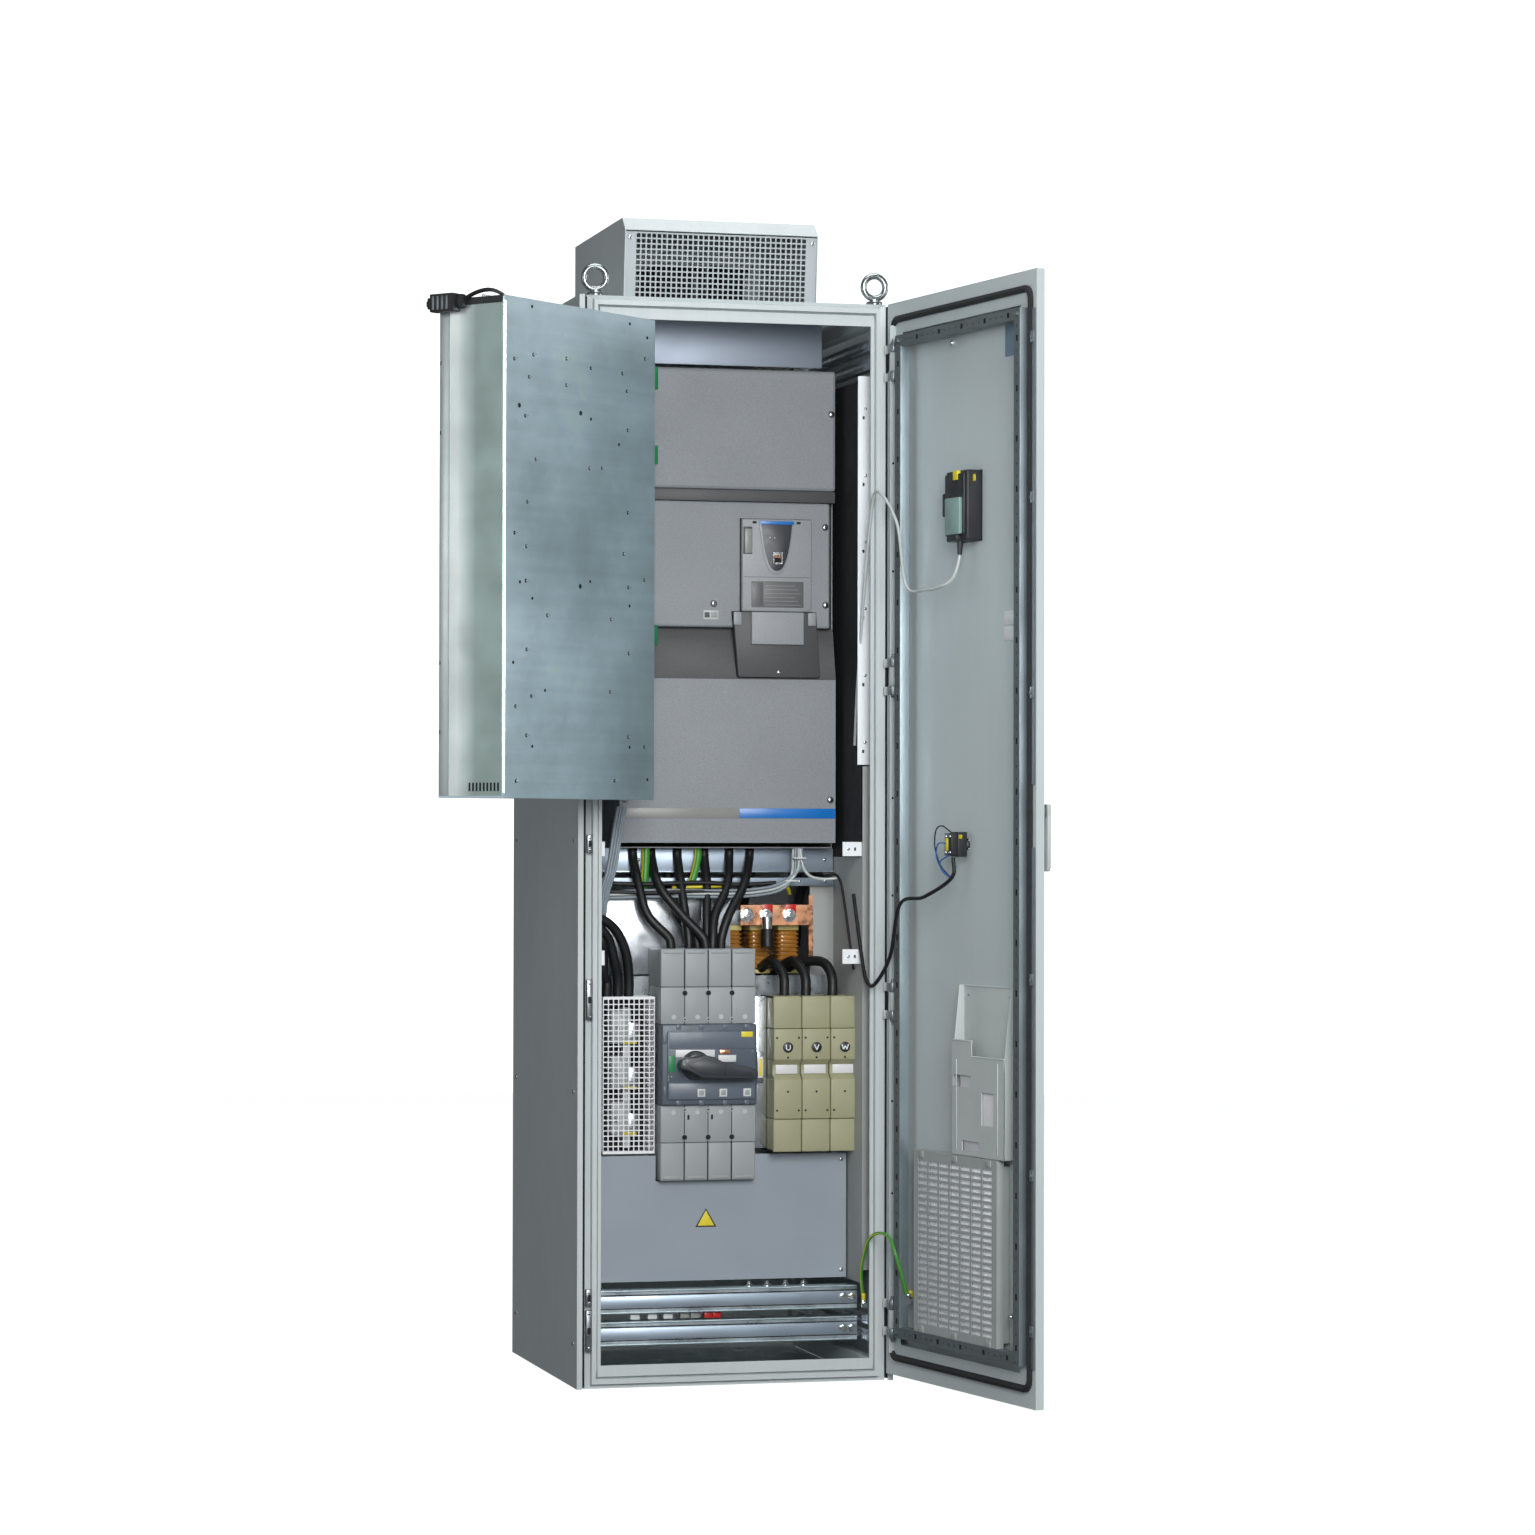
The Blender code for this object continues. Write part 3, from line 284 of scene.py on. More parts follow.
def local_box(node, turn=None):
    """A CAD part's low and high corners in its body's own directions, to a tenth of a millimetre."""
    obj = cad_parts[node]
    place = obj.matrix_world if turn is None else turn.inverted() @ obj.matrix_world
    corners = [place @ vertex.co for vertex in obj.data.vertices]
    return [tuple(round(pick(c[k] for c in corners), 4) for k in range(3)) for pick in (min, max)]


def upright(u, v, t):
    return (u, t, v)


def sideways(u, v, t):
    return (t, u, v)


def level(u, v, t):
    return (u, v, t)


def round_angles(count):
    return [2 * math.pi * k / count for k in range(count)]


class Piece:
    """One named visible piece, gathered from simple closed shapes that may differ in material."""

    def __init__(self, name):
        self.name, self.mesh, self.materials = name, bmesh.new(), []

    def add(self, shape, material):
        if material not in self.materials:
            self.materials.append(material)
        index = self.materials.index(material)
        for face in shape.faces:
            face.material_index = index
        bmesh.ops.recalc_face_normals(shape, faces=shape.faces)
        self.take(shape)
        return self

    def add_striped(self, shape, first, second):
        """Adds a shape whose faces are numbered 0 for the first material and 1 for the second."""
        for material in (first, second):
            if material not in self.materials:
                self.materials.append(material)
        for face in shape.faces:
            face.material_index = self.materials.index(second if face.material_index else first)
        self.take(shape)

    def take(self, shape):
        carrier = bpy.data.meshes.new("carrier")
        shape.to_mesh(carrier)
        shape.free()
        self.mesh.from_mesh(carrier)
        bpy.data.meshes.remove(carrier)

    def disc(self, centre, direction, radius, height, material, sides=12, rim=None, peak=None):
        """A low round button; rim is the radius of its top edge and peak the height of its middle."""
        profile = [(0.0, 0.0), (radius, 0.0), (rim or radius, height), (0.0, peak or height)]
        return self.add(lathe(profile, centre, direction, sides), material)

    def sheet(self, material, *layout):
        return self.add(holed_sheet(*layout), material)

    def block(self, low, high, material, bevel=0.0006, segments=2):
        return self.add(block(low, high, bevel, segments), material)

    def rod(self, start, end, radius, material, sides=16, end_radius=None, bevel=0.0):
        return self.add(rod(start, end, radius, sides, end_radius, bevel), material)

    def plate(self, outline, axis, start, end, material, bevel=0.0):
        return self.add(plate(outline, axis, start, end, bevel), material)

    def make(self, body, replaces=(), turn=None):
        if turn is not None:
            self.mesh.transform(turn)
        mesh = bpy.data.meshes.new(self.name)
        self.mesh.to_mesh(mesh)
        self.mesh.free()
        for material in self.materials:
            mesh.materials.append(material)
        mesh.shade_smooth()
        mesh.set_sharp_from_angle(angle=SMOOTH_BELOW)
        obj = bpy.data.objects.new(self.name, mesh)
        bpy.context.collection.objects.link(obj)
        if body:
            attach(obj, body)
        if replaces:
            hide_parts(*replaces)
        return obj


def rounded(shape, bevel, segments, angle=0.5):
    edges = [e for e in shape.edges if len(e.link_faces) == 2 and e.calc_face_angle(0) > angle]
    bmesh.ops.bevel(shape, geom=edges, offset=bevel, segments=segments, profile=0.5, affect="EDGES",
                    clamp_overlap=True)
    return shape


def block(low, high, bevel=0.0006, segments=2):
    shape = bmesh.new()
    low, high = Vector(low), Vector(high)
    low, high = Vector(map(min, low, high)), Vector(map(max, low, high))
    size = high - low
    bmesh.ops.create_cube(shape, size=1.0,
                          matrix=Matrix.Translation((low + high) / 2) @ Matrix.Diagonal((*size, 1.0)))
    if bevel:
        bmesh.ops.recalc_face_normals(shape, faces=shape.faces)
        rounded(shape, min(bevel, min(size) * 0.45), segments)
    return shape


def rod(start, end, radius, sides=16, end_radius=None, bevel=0.0):
    start, end = Vector(start), Vector(end)
    turn = (end - start).to_track_quat("Z", "Y").to_matrix().to_4x4()
    shape = bmesh.new()
    bmesh.ops.create_cone(shape, cap_ends=True, segments=sides, radius1=radius,
                          radius2=radius if end_radius is None else end_radius,
                          depth=(end - start).length, matrix=Matrix.Translation((start + end) / 2) @ turn)
    if bevel:
        rounded(shape, bevel, 2, 0.9)
    return shape


def spot(axis, first, second, level):
    return {"x": (level, first, second), "y": (first, level, second), "z": (first, second, level)}[axis]


def plate(outline, axis, start, end, bevel=0.0):
    """A flat outline, extruded along axis."""
    shape = bmesh.new()
    first = [shape.verts.new(spot(axis, *p, start)) for p in outline]
    last = [shape.verts.new(spot(axis, *p, end)) for p in outline]
    shape.faces.new(first)
    shape.faces.new(last[::-1])
    for k in range(len(outline)):
        shape.faces.new((first[k - 1], last[k - 1], last[k], first[k]))
    bmesh.ops.recalc_face_normals(shape, faces=shape.faces)
    if bevel:
        rounded(shape, bevel, 2)
    return shape


def lathe(profile, centre, direction, sides=32):
    """A closed (radius, height) profile turned round an axis through centre."""
    shape = bmesh.new()
    turn = Matrix.Translation(centre) @ Vector(direction).to_track_quat("Z", "Y").to_matrix().to_4x4()
    rings = []
    for r, h in profile:
        if r < 1e-7:
            rings.append([shape.verts.new(turn @ Vector((0, 0, h)))])
        else:
            circle = [Vector((r * math.cos(a), r * math.sin(a), h)) for a in round_angles(sides)]
            rings.append([shape.verts.new(turn @ point) for point in circle])
    pairs = list(zip(rings, rings[1:]))
    if len(rings[0]) > 1:
        pairs.append((rings[-1], rings[0]))
    for a, b in pairs:
        for k in range(sides):
            n = (k + 1) % sides
            corners = [a[k % len(a)], a[n % len(a)], b[n % len(b)], b[k % len(b)]]
            corners = [v for i, v in enumerate(corners) if v not in corners[:i]]
            if len(corners) > 2:
                shape.faces.new(corners)
    return shape


def smooth_line(points, spacing):
    knots = [Vector(p) for p in points]
    knots = [knots[0] * 2 - knots[1]] + knots + [knots[-1] * 2 - knots[-2]]
    line = []
    for a, b, c, d in zip(knots, knots[1:], knots[2:], knots[3:]):
        steps = max(1, round((c - b).length / spacing))
        for step in range(steps):
            t = step / steps
            square = (2 * a - 5 * b + 4 * c - d) * t**2
            cube = (3 * b - a - 3 * c + d) * t**3
            line.append(0.5 * (2 * b + (c - a) * t + square + cube))
    return line + [knots[-2]]


def round_ring(shape, point, across, other, radius, sides):
    """The corners of one round section of a tube, centred on point."""
    ways = [across * math.cos(a) + other * math.sin(a) for a in round_angles(sides)]
    return [shape.verts.new(point + way * radius) for way in ways]


def closed_tube(points, outward, axis, radius, sides):
    """A ring of round wire through points, with one outward direction for each of them."""
    shape = bmesh.new()
    rings = [round_ring(shape, point, out, axis, radius, sides) for point, out in zip(points, outward)]
    for a, b in zip(rings, rings[1:] + rings[:1]):
        for j in range(sides):
            n = (j + 1) % sides
            shape.faces.new((a[j], a[n], b[n], b[j]))
    return shape


def tube(line, radius, sides=12, stripes=None):
    """A closed tube along a line of points. stripes gives a material number for each side."""
    shape = bmesh.new()
    rings = []
    across = None
    for i, point in enumerate(line):
        ahead = (line[min(i + 1, len(line) - 1)] - line[max(i - 1, 0)]).normalized()
        if across is None:
            across = ahead.orthogonal().normalized()
        across = (across - ahead * across.dot(ahead)).normalized()
        other = ahead.cross(across)
        rings.append(round_ring(shape, point, across, other, radius, sides))
    for a, b in zip(rings, rings[1:]):
        for k in range(sides):
            n = (k + 1) % sides
            face = shape.faces.new((a[k], a[n], b[n], b[k]))
            if stripes:
                face.material_index = stripes[k]
    shape.faces.new(rings[0][::-1])
    shape.faces.new(rings[-1])
    bmesh.ops.recalc_face_normals(shape, faces=shape.faces)
    return shape


def hole_lines(start, end, pitch, hole, edge=0.0):
    """Grid lines whose odd gaps are the holes, centred between start and end."""
    count = int((end - start - 2 * edge + pitch - hole + 1e-9) // pitch)
    first = (start + end) / 2 - ((count - 1) * pitch + hole) / 2
    lines = [start]
    for k in range(count):
        lines += [first + k * pitch, first + k * pitch + hole]
    return lines + [end]


def odd_cell(i, j):
    return i % 2 == 1 and j % 2 == 1


def holed_sheet(us, vs, place, back, front, is_hole=odd_cell):
    """A closed sheet with rectangular holes where is_hole says. place(u, v, t) gives a point."""
    shape, corner = bmesh.new(), {}

    def at(i, j, k):
        if (i, j, k) not in corner:
            corner[i, j, k] = shape.verts.new(place(us[i], vs[j], (back, front)[k]))
        return corner[i, j, k]

    columns, rows = len(us) - 1, len(vs) - 1

    def solid(i, j):
        return 0 <= i < columns and 0 <= j < rows and not is_hole(i, j)

    for i in range(columns):
        for j in range(rows):
            if not solid(i, j):
                continue
            for k in (0, 1):
                shape.faces.new((at(i, j, k), at(i + 1, j, k), at(i + 1, j + 1, k), at(i, j + 1, k)))
            for di, dj, a, b in ((-1, 0, (i, j), (i, j + 1)), (1, 0, (i + 1, j), (i + 1, j + 1)),
                                 (0, -1, (i, j), (i + 1, j)), (0, 1, (i, j + 1), (i + 1, j + 1))):
                if not solid(i + di, j + dj):
                    shape.faces.new((at(*a, 0), at(*b, 0), at(*b, 1), at(*a, 1)))
    return shape


def screw(piece, centre, direction, radius=0.004, material=None, height=0.0018):
    """A domed screw head with a cross recess."""
    material = material or STEEL
    centre, direction = Vector(centre), Vector(direction).normalized()
    dome = [(0.0, -0.0004), (radius, -0.0004), (radius, height * 0.35), (radius * 0.8, height * 0.8),
            (radius * 0.4, height), (0.0, height)]
    piece.add(lathe(dome, centre, direction, 16), material)
    across = direction.orthogonal().normalized()
    for arm in (across, direction.cross(across)):
        middle = centre + direction * (height + 0.00005)
        piece.add(rod(middle - arm * radius * 0.55, middle + arm * radius * 0.55, radius * 0.1, 4), HOLE)


def hexagon(piece, centre, direction, radius, height, material=None):
    centre, direction = Vector(centre), Vector(direction).normalized()
    piece.add(rod(centre, centre + direction * height, radius, 6), material or STEEL)


# ---------------------------------------------------------------- kept CAD pieces


def finish_cad(material, *names):
    for name in names:
        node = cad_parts[name]
        node.data.materials.clear()
        node.data.materials.append(material)


def soften(width, *names):
    for name in names:
        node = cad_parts[name]
        bevel = node.modifiers.new("edge", "BEVEL")
        bevel.width = width
        bevel.segments = 2
        bevel.limit_method = "ANGLE"
        bevel.angle_limit = math.radians(40)


# ---------------------------------------------------------------- cabinet


def cabinet():
    finish_cad(PAINT, "cabinet_frame", "side_panel_left", "side_panel_right", "rear_panel", "roof_plate",
               "roof_hood")
    finish_cad(ZINC, "floor_plate", "bottom_rail_lower", "bottom_rail_upper")
    finish_cad(DARK_STEEL, "mounting_plate")
    finish_cad(BLACK, "fan_impeller")
    finish_cad(ALUMINIUM, "heat_sink")
    door_hinges()
    upper_baffle()
    finish_cad(BAFFLE, "air_baffle")
    soften(0.0012, "side_panel_left", "side_panel_right", "bottom_rail_lower", "bottom_rail_upper")
    keepers()
    depth_rails()
    right_strip()
    brackets()
    cross_rails()
    bottom_studs()
    earth_points()
    panel_screws()


def panel_screws():
    """Two rows of screws that hold the rear panel and each side panel."""
    piece = Piece("panel_screws")
    for z in (0.08, 0.54, 1.0, 1.46, 1.92):
        for x in (-0.278, 0.278):
            screw(piece, (x, REAR_FACE, z), BACK, 0.005)
        for side in (-1, 1):
            for y in (-0.265, 0.265):
                screw(piece, (side * SIDE_FACE, y, z), (side, 0, 0), 0.005)
    piece.make("cabinet")


def door_hinges():
    """Four hinges on the door's edge: a painted barrel between zinc knuckles with domed pin ends."""
    x, y = -0.03, 0.014
    flange = Piece("door_hinge_flange")
    flange.block((-0.029, 0.008, 0.056), (-0.0275, 0.02, 1.956), DOOR_PAINT, 0.0004)
    for z in (0.35, 0.52, 0.9, 1.08, 1.5, 1.7):
        flange.rod((-0.029, 0.014, z), (-0.0294, 0.014, z), 0.0022, HOLE, 12)
    flange.make("door", turn=DOOR)
    for number, z in enumerate((0.118, 0.704, 1.305, 1.889), 1):
        barrel = Piece(f"door_hinge_{number}_barrel")
        barrel.rod((x, y, z - 0.0168), (x, y, z + 0.0168), 0.0056, PIVOT_PAINT, 24, bevel=0.0008)
        barrel.rod((x, y, z - 0.042), (x, y, z + 0.042), 0.003, DARK_STEEL, 14)
        for side in (-1, 1):
            barrel.rod((x, y, z + side * 0.0176), (x, y, z + side * 0.034), 0.0062, DARK_STEEL, 24,
                       bevel=0.0008)
            cap = [(0.0, 0.0), (0.0052, 0.0), (0.0046, 0.0034), (0.002, 0.0062), (0.0, 0.0066)]
            barrel.add(lathe(cap, (x, y, z + side * 0.0338), (0, 0, side), 20), DARK_STEEL)
            barrel.block((x, 0.012, z + side * 0.0258 - 0.0085),
                         (-0.012, 0.0165, z + side * 0.0258 + 0.0085), DARK_STEEL, 0.0006)
        barrel.make("door", [f"door_hinge_{number}"], DOOR)
        leaf = Piece(f"door_hinge_{number}_leaf")
        for side in (-1, 1):
            leaf.block((0.2795, -0.3035, z + side * 0.0258 - 0.008),
                       (0.287, -0.3003, z + side * 0.0258 + 0.008), PIVOT_PAINT, 0.0006)
        leaf.make("cabinet")


def upper_baffle():
    """The sheet above the drive that closes the gap up to the roof."""
    piece = Piece("upper_baffle_sheet")
    piece.block((-0.2, -0.1192, 1.8978), (0.209, -0.1182, 1.99), BAFFLE, 0.0004)
    piece.block((-0.2, -0.1192, 1.989), (0.209, -0.1, 1.99), BAFFLE, 0.0003)
    piece.make("cabinet")


def keepers():
    """Lock keepers on the left post, and the dark seals down both sides of the frame."""
    piece = Piece("left_post_keepers")
    for low, high in ((0.978, 1.011), (0.673, 0.746), (0.151, 0.182), (0.069, 0.144)):
        piece.block((-0.2835, -0.3035, low), (-0.273, -0.2895, high), DARK_STEEL, 0.0012)
        piece.block((-0.2815, -0.3042, (low + high) / 2 - 0.006),
                    (-0.275, -0.303, (low + high) / 2 + 0.006), HOLE, 0.0004)
        for z in (low + 0.006, high - 0.006):
            screw(piece, (-0.2783, -0.3035, z), FRONT, 0.0028)
    piece.make("cabinet")
    seal = Piece("frame_side_seals")
    for side in (-1, 1):
        seal.block((side * 0.2854, -0.2975, 0.004), (side * 0.2898, -0.27, 1.996), HOLE, 0.0)
    seal.make("cabinet")


def depth_rails():
    """Perforated rails that run front to back along the top and bottom of both sides."""
    piece = Piece("depth_rails")
    us = hole_lines(-0.25, 0.25, 0.0125, 0.0065, 0.006)
    for side in (-1, 1):
        for z in (0.07, 0.1, 1.885, 1.92):
            vs = [z, z + 0.0065, z + 0.0125, z + 0.019]
            x = side * 0.264
            piece.sheet(ZINC_BRIGHT, us, vs, sideways, x, x + 0.002)
            piece.block((x, -0.25, z - 0.0015), (x + side * 0.016, 0.25, z - 0.0002), ZINC, 0.0003)
    piece.make("cabinet")


def right_strip():
    piece = Piece("perforated_strip")
    us = [0.2455, 0.2545, 0.2585, 0.2755]
    vs = [1.143]
    z = 1.165
    while z < 1.86:
        vs += [z, z + 0.006]
        z += 0.125
    vs += [1.871]
    # The perforated strip is zinc, drawn white as a painted highlight of its bright reflection.
    piece.sheet(WHITE_AND_HIGHLIGHT, us, vs, upright, -0.244, -0.2425)
    piece.block((0.274, -0.2425, 1.143), (0.2755, -0.22, 1.871), WHITE_AND_HIGHLIGHT, 0.0003)
    for k in range(6):
        screw(piece, (0.26, -0.244, 1.185 + k * 0.125), FRONT, 0.003)
    piece.make("cabinet")


def brackets():
    piece = Piece("cable_brackets")
    for low, high in ((0.972, 0.9985), (0.771, 0.798)):
        middle = (low + high) / 2
        us = [0.218, 0.24, 0.244, 0.256]
        vs = [low, middle - 0.003, middle + 0.003, high]
        piece.sheet(WHITE_AND_HIGHLIGHT, us, vs, upright, -0.2405, -0.2385)
        piece.block((0.254, -0.2385, low), (0.256, -0.2, high), WHITE_AND_HIGHLIGHT, 0.0004)
        screw(piece, (0.229, -0.2405, middle), FRONT, 0.0032)
        piece.sheet(WHITE_AND_HIGHLIGHT, [-0.256, -0.25, -0.246, -0.237], vs, upright, -0.2405, -0.2385)
        piece.block((-0.256, -0.2385, low), (-0.254, -0.2, high), WHITE_AND_HIGHLIGHT, 0.0004)
    piece.make("cabinet")


def cross_rails():
    """Rails behind the cables, the bright partition under them, and the grey panel on the right in painted
    shade: a darker copy of the powder coat, with a black sheet above it.
    """
    piece = Piece("cross_rails")
    for low, high, y in ((0.942, 0.986, -0.05), (0.916, 0.93, -0.054)):
        piece.block((-0.252, y, low), (0.252, y + 0.002, high), BAND, 0.0005)
        piece.block((-0.252, y - 0.006, low - 0.0015), (0.252, y + 0.002, low + 0.0003), ZINC, 0.0004)
        for x in (-0.235, -0.13, 0.185, 0.235):
            screw(piece, (x, y, (low + high) / 2), FRONT, 0.0034)
    piece.block((-0.24, -0.07, 0.748), (0.045, -0.068, 0.906), ZINC_BRIGHT, 0.0008)
    for x in (-0.23, -0.09, 0.035):
        screw(piece, (x, -0.07, 0.895), FRONT, 0.0035)
    piece.make("cabinet")
    panel = Piece("inner_right_painted_shade")
    # The right side's inner walls in the darker coat, as painted shade.
    panel.block((0.2535, -0.25, 0.175), (0.255, 0.25, 0.97), PAINTED_SHADE_COAT, 0.0005)
    # A black sheet on the upper inner side is painted shade between the drive and the side panel.
    panel.block((0.2535, -0.238, 0.97), (0.255, 0.25, 1.865), HOLE, 0.0)
    panel.block((0.207, -0.048, 0.175), (0.2545, -0.0465, 0.93), PAINTED_SHADE_COAT, 0.0005)
    panel.block((0.2535, -0.251, 0.2), (0.268, -0.2495, 1.14), PAINTED_SHADE_COAT, 0.0005)
    panel.make("cabinet")


def earth_points():
    """A crimp and a bolt at each end of the door's earth lead."""
    post = Piece("post_earth_point")
    post.rod((0.2585, -0.2432, 0.156), (0.2592, -0.243, 0.144), 0.0042, YELLOW, 18, bevel=0.0006)
    post.block((0.256, -0.244, 0.129), (0.264, -0.242, 0.145), STEEL, 0.0006)
    hexagon(post, (0.26, -0.244, 0.134), FRONT, 0.0062, 0.005)
    post.make("cabinet")
    sheet = Piece("door_earth_point")
    sheet.rod((-0.09, 0.0062, 0.176), (-0.09, 0.0058, 0.164), 0.0042, YELLOW, 18, bevel=0.0006)
    sheet.block((-0.095, 0.003, 0.15), (-0.085, 0.005, 0.165), STEEL, 0.0006)
    hexagon(sheet, (-0.09, 0.005, 0.156), BACK, 0.0062, 0.005)
    sheet.make("door", turn=DOOR)


def bottom_studs():
    piece = Piece("bottom_rail_studs")
    for x in (0.054, 0.089, 0.124, 0.159):
        piece.rod((x, -0.18, 0.168), (x, -0.18, 0.177), 0.0035, STEEL, 12)
        hexagon(piece, (x, -0.18, 0.1681), UP, 0.0068, 0.005)
        piece.rod((x, -0.18, 0.168), (x, -0.18, 0.1694), 0.0082, STEEL, 16)
    for rail in ("bottom_rail_lower", "bottom_rail_upper"):
        (_, _, low), (_, _, high) = local_box(rail)
        middle = (low + high) / 2
        piece.block((-0.2555, -0.2014, middle - 0.0105), (0.258, -0.1999, middle + 0.0105), BAND, 0.0008)
        for z in (middle - 0.0135, middle + 0.0115):
            piece.block((-0.2555, -0.2003, z), (0.258, -0.1998, z + 0.002), HOLE, 0.0)
        for z in (low + 0.002, high - 0.002):
            piece.rod((-0.2555, -0.2004, z), (0.258, -0.2004, z), 0.0018, CHANNEL, 12)
        for x in (0.231, 0.248):
            hexagon(piece, (x, -0.2014, middle), FRONT, 0.0058, 0.0045)
            piece.rod((x, -0.2014, middle), (x, -0.2022, middle), 0.0078, STEEL, 18)
    tags = ((WHITE_PLASTIC, (-0.175, -0.142, -0.112)), (STRIPE_GREY, (-0.08, -0.06)),
            (RED, (-0.034, -0.02)))
    for x, material in [(x, material) for material, xs in tags for x in xs]:
        piece.block((x, -0.19, 0.112), (x + 0.018, -0.176, 0.122), material, 0.0012)
    piece.make("cabinet")


def hood():
    """The square-hole grille with its plain margins, and the hood's screws."""
    (_, _, low), (half, _, high) = local_box("hood_grille")

    def lean(u, v, t):
        return (u, -0.1572 - 0.0144 * (v - low) / (high - low) + t, v)

    us = hole_lines(-0.168, 0.168, 0.01, 0.0074)
    us[0], us[-1] = -half, half
    vs = hole_lines(low, high, 0.01, 0.0074, 0.003)
    piece = Piece("hood_grille_sheet")
    piece.sheet(GRILLE_COAT, us, vs, lean, 0.0, 0.0015)
    for x in (-0.1765, 0.1765):
        for z in (2.013, 2.126):
            screw(piece, lean(x, z, -0.0002), (0, -1, -0.1), 0.0042)
    piece.make("cabinet", ["hood_grille"])
    trim = Piece("hood_flange")
    for side in (-1, 1):
        x = side * 0.1865
        trim.block((x, -0.154, 2.0006), (x + side * 0.014, 0.265, 2.0022), PAINT, 0.0005)
        for y in (-0.12, 0.0, 0.12, 0.24):
            screw(trim, (x + side * 0.008, y, 2.0022), UP, 0.0036)
    trim.make("cabinet")


def eyebolts():
    """Four lifting eyes: a round wire ring on a stepped foot."""
    ring_radius, wire_radius, ring_height = 0.021, 0.006, 2.0334
    foot = [(0.0, 0.0), (0.0155, 0.0), (0.0155, 0.004), (0.0145, 0.0056), (0.0085, 0.007), (0.0065, 0.0105),
            (0.0, 0.0105)]
    for end, y in (("front", -0.28), ("rear", 0.28)):
        for side, x in (("left", -0.2665), ("right", 0.2665)):
            piece = Piece(f"lifting_eye_{end}_{side}")
            middle = Vector((x, y, ring_height))
            circle = [
                Vector((x + ring_radius * math.cos(a), y, ring_height + ring_radius * math.sin(a)))
                for a in round_angles(40)
            ]
            outward = [(point - middle).normalized() for point in circle]
            piece.add(closed_tube(circle, outward, Vector(BACK), wire_radius, 14), EYE_ZINC)
            piece.add(lathe(foot, (x, y, 2.0005), UP, 28), EYE_ZINC)
            piece.make("cabinet", [f"eyebolt_{end}_{side}"])


# ---------------------------------------------------------------- drive module


def drive():
    finish_cad(DRIVE, "drive_chassis", "drive_top_cover", "drive_middle_cover", "drive_lower_cover")
    soften(0.002, "drive_lower_cover")
    (_, front, _), _ = local_box("drive_lower_cover")
    (_, middle_front, _), _ = local_box("drive_middle_cover")
    trim = Piece("drive_trim")
    trim.block((-0.1795, -0.108, 1.6422), (0.239, -0.086, 1.6636), DRIVE_DARK, 0.001)
    trim.plate([(-0.0856, 1.403), (-0.088, 1.3985), (-0.1106, 1.3068), (-0.1102, 1.3058), (-0.087, 1.3985),
                (-0.0856, 1.4015)], "x", -0.1795, 0.2395, DRIVE_DARK)
    trim.block((-0.1795, front - 0.0008, 1.0427), (0.0515, front - 0.0001, 1.0616), STRIPE_GREY, 0.0002)
    trim.block((0.052, front - 0.0008, 1.0427), (0.2395, front - 0.0001, 1.0616), STRIPE_BLUE, 0.0002)
    places = [(x, z, front) for x, z in ((0.231, 1.811), (-0.168, 1.811), (0.23, 1.078), (-0.17, 1.078))]
    places += [(x, z, middle_front) for x, z in ((0.22, 1.596), (0.221, 1.448), (0.002, 1.448))]
    for x, z, y in places:
        trim.add(lathe([(0.0, 0.0004), (0.0062, 0.0004), (0.007, -0.0002), (0.0, -0.0002)], (x, y, z),
                       FRONT, 24), DRIVE_DARK)
        screw(trim, (x, y - 0.0003, z), FRONT, 0.0046)
    trim.block((-0.018, -0.1066, 1.418), (0.011, -0.1059, 1.435), PALE_PLASTIC, 0.0003)
    trim.block((-0.016, -0.1069, 1.4215), (-0.006, -0.1065, 1.4315), DRIVE_DARK, 0.0002)
    trim.block((-0.004, -0.1069, 1.4215), (0.009, -0.1065, 1.4315), DRIVE_LIGHT, 0.0002)
    trim.make("cabinet")
    keypad_module()
    module_flap()


def shield(width, top, bottom, x, steps=18):
    """A shield outline: straight top corners, sides that curve in to a round bottom."""
    height = top - bottom
    points = [(x - width / 2, top), (x + width / 2, top)]
    for k in range(1, steps):
        a = k / steps
        points.append((x + width / 2 * (1 - 2 * a) * (1.315 - 0.315 * abs(1 - 2 * a)),
                       top - height * (1 - abs(1 - 2 * a) ** 2.3)))
    return points


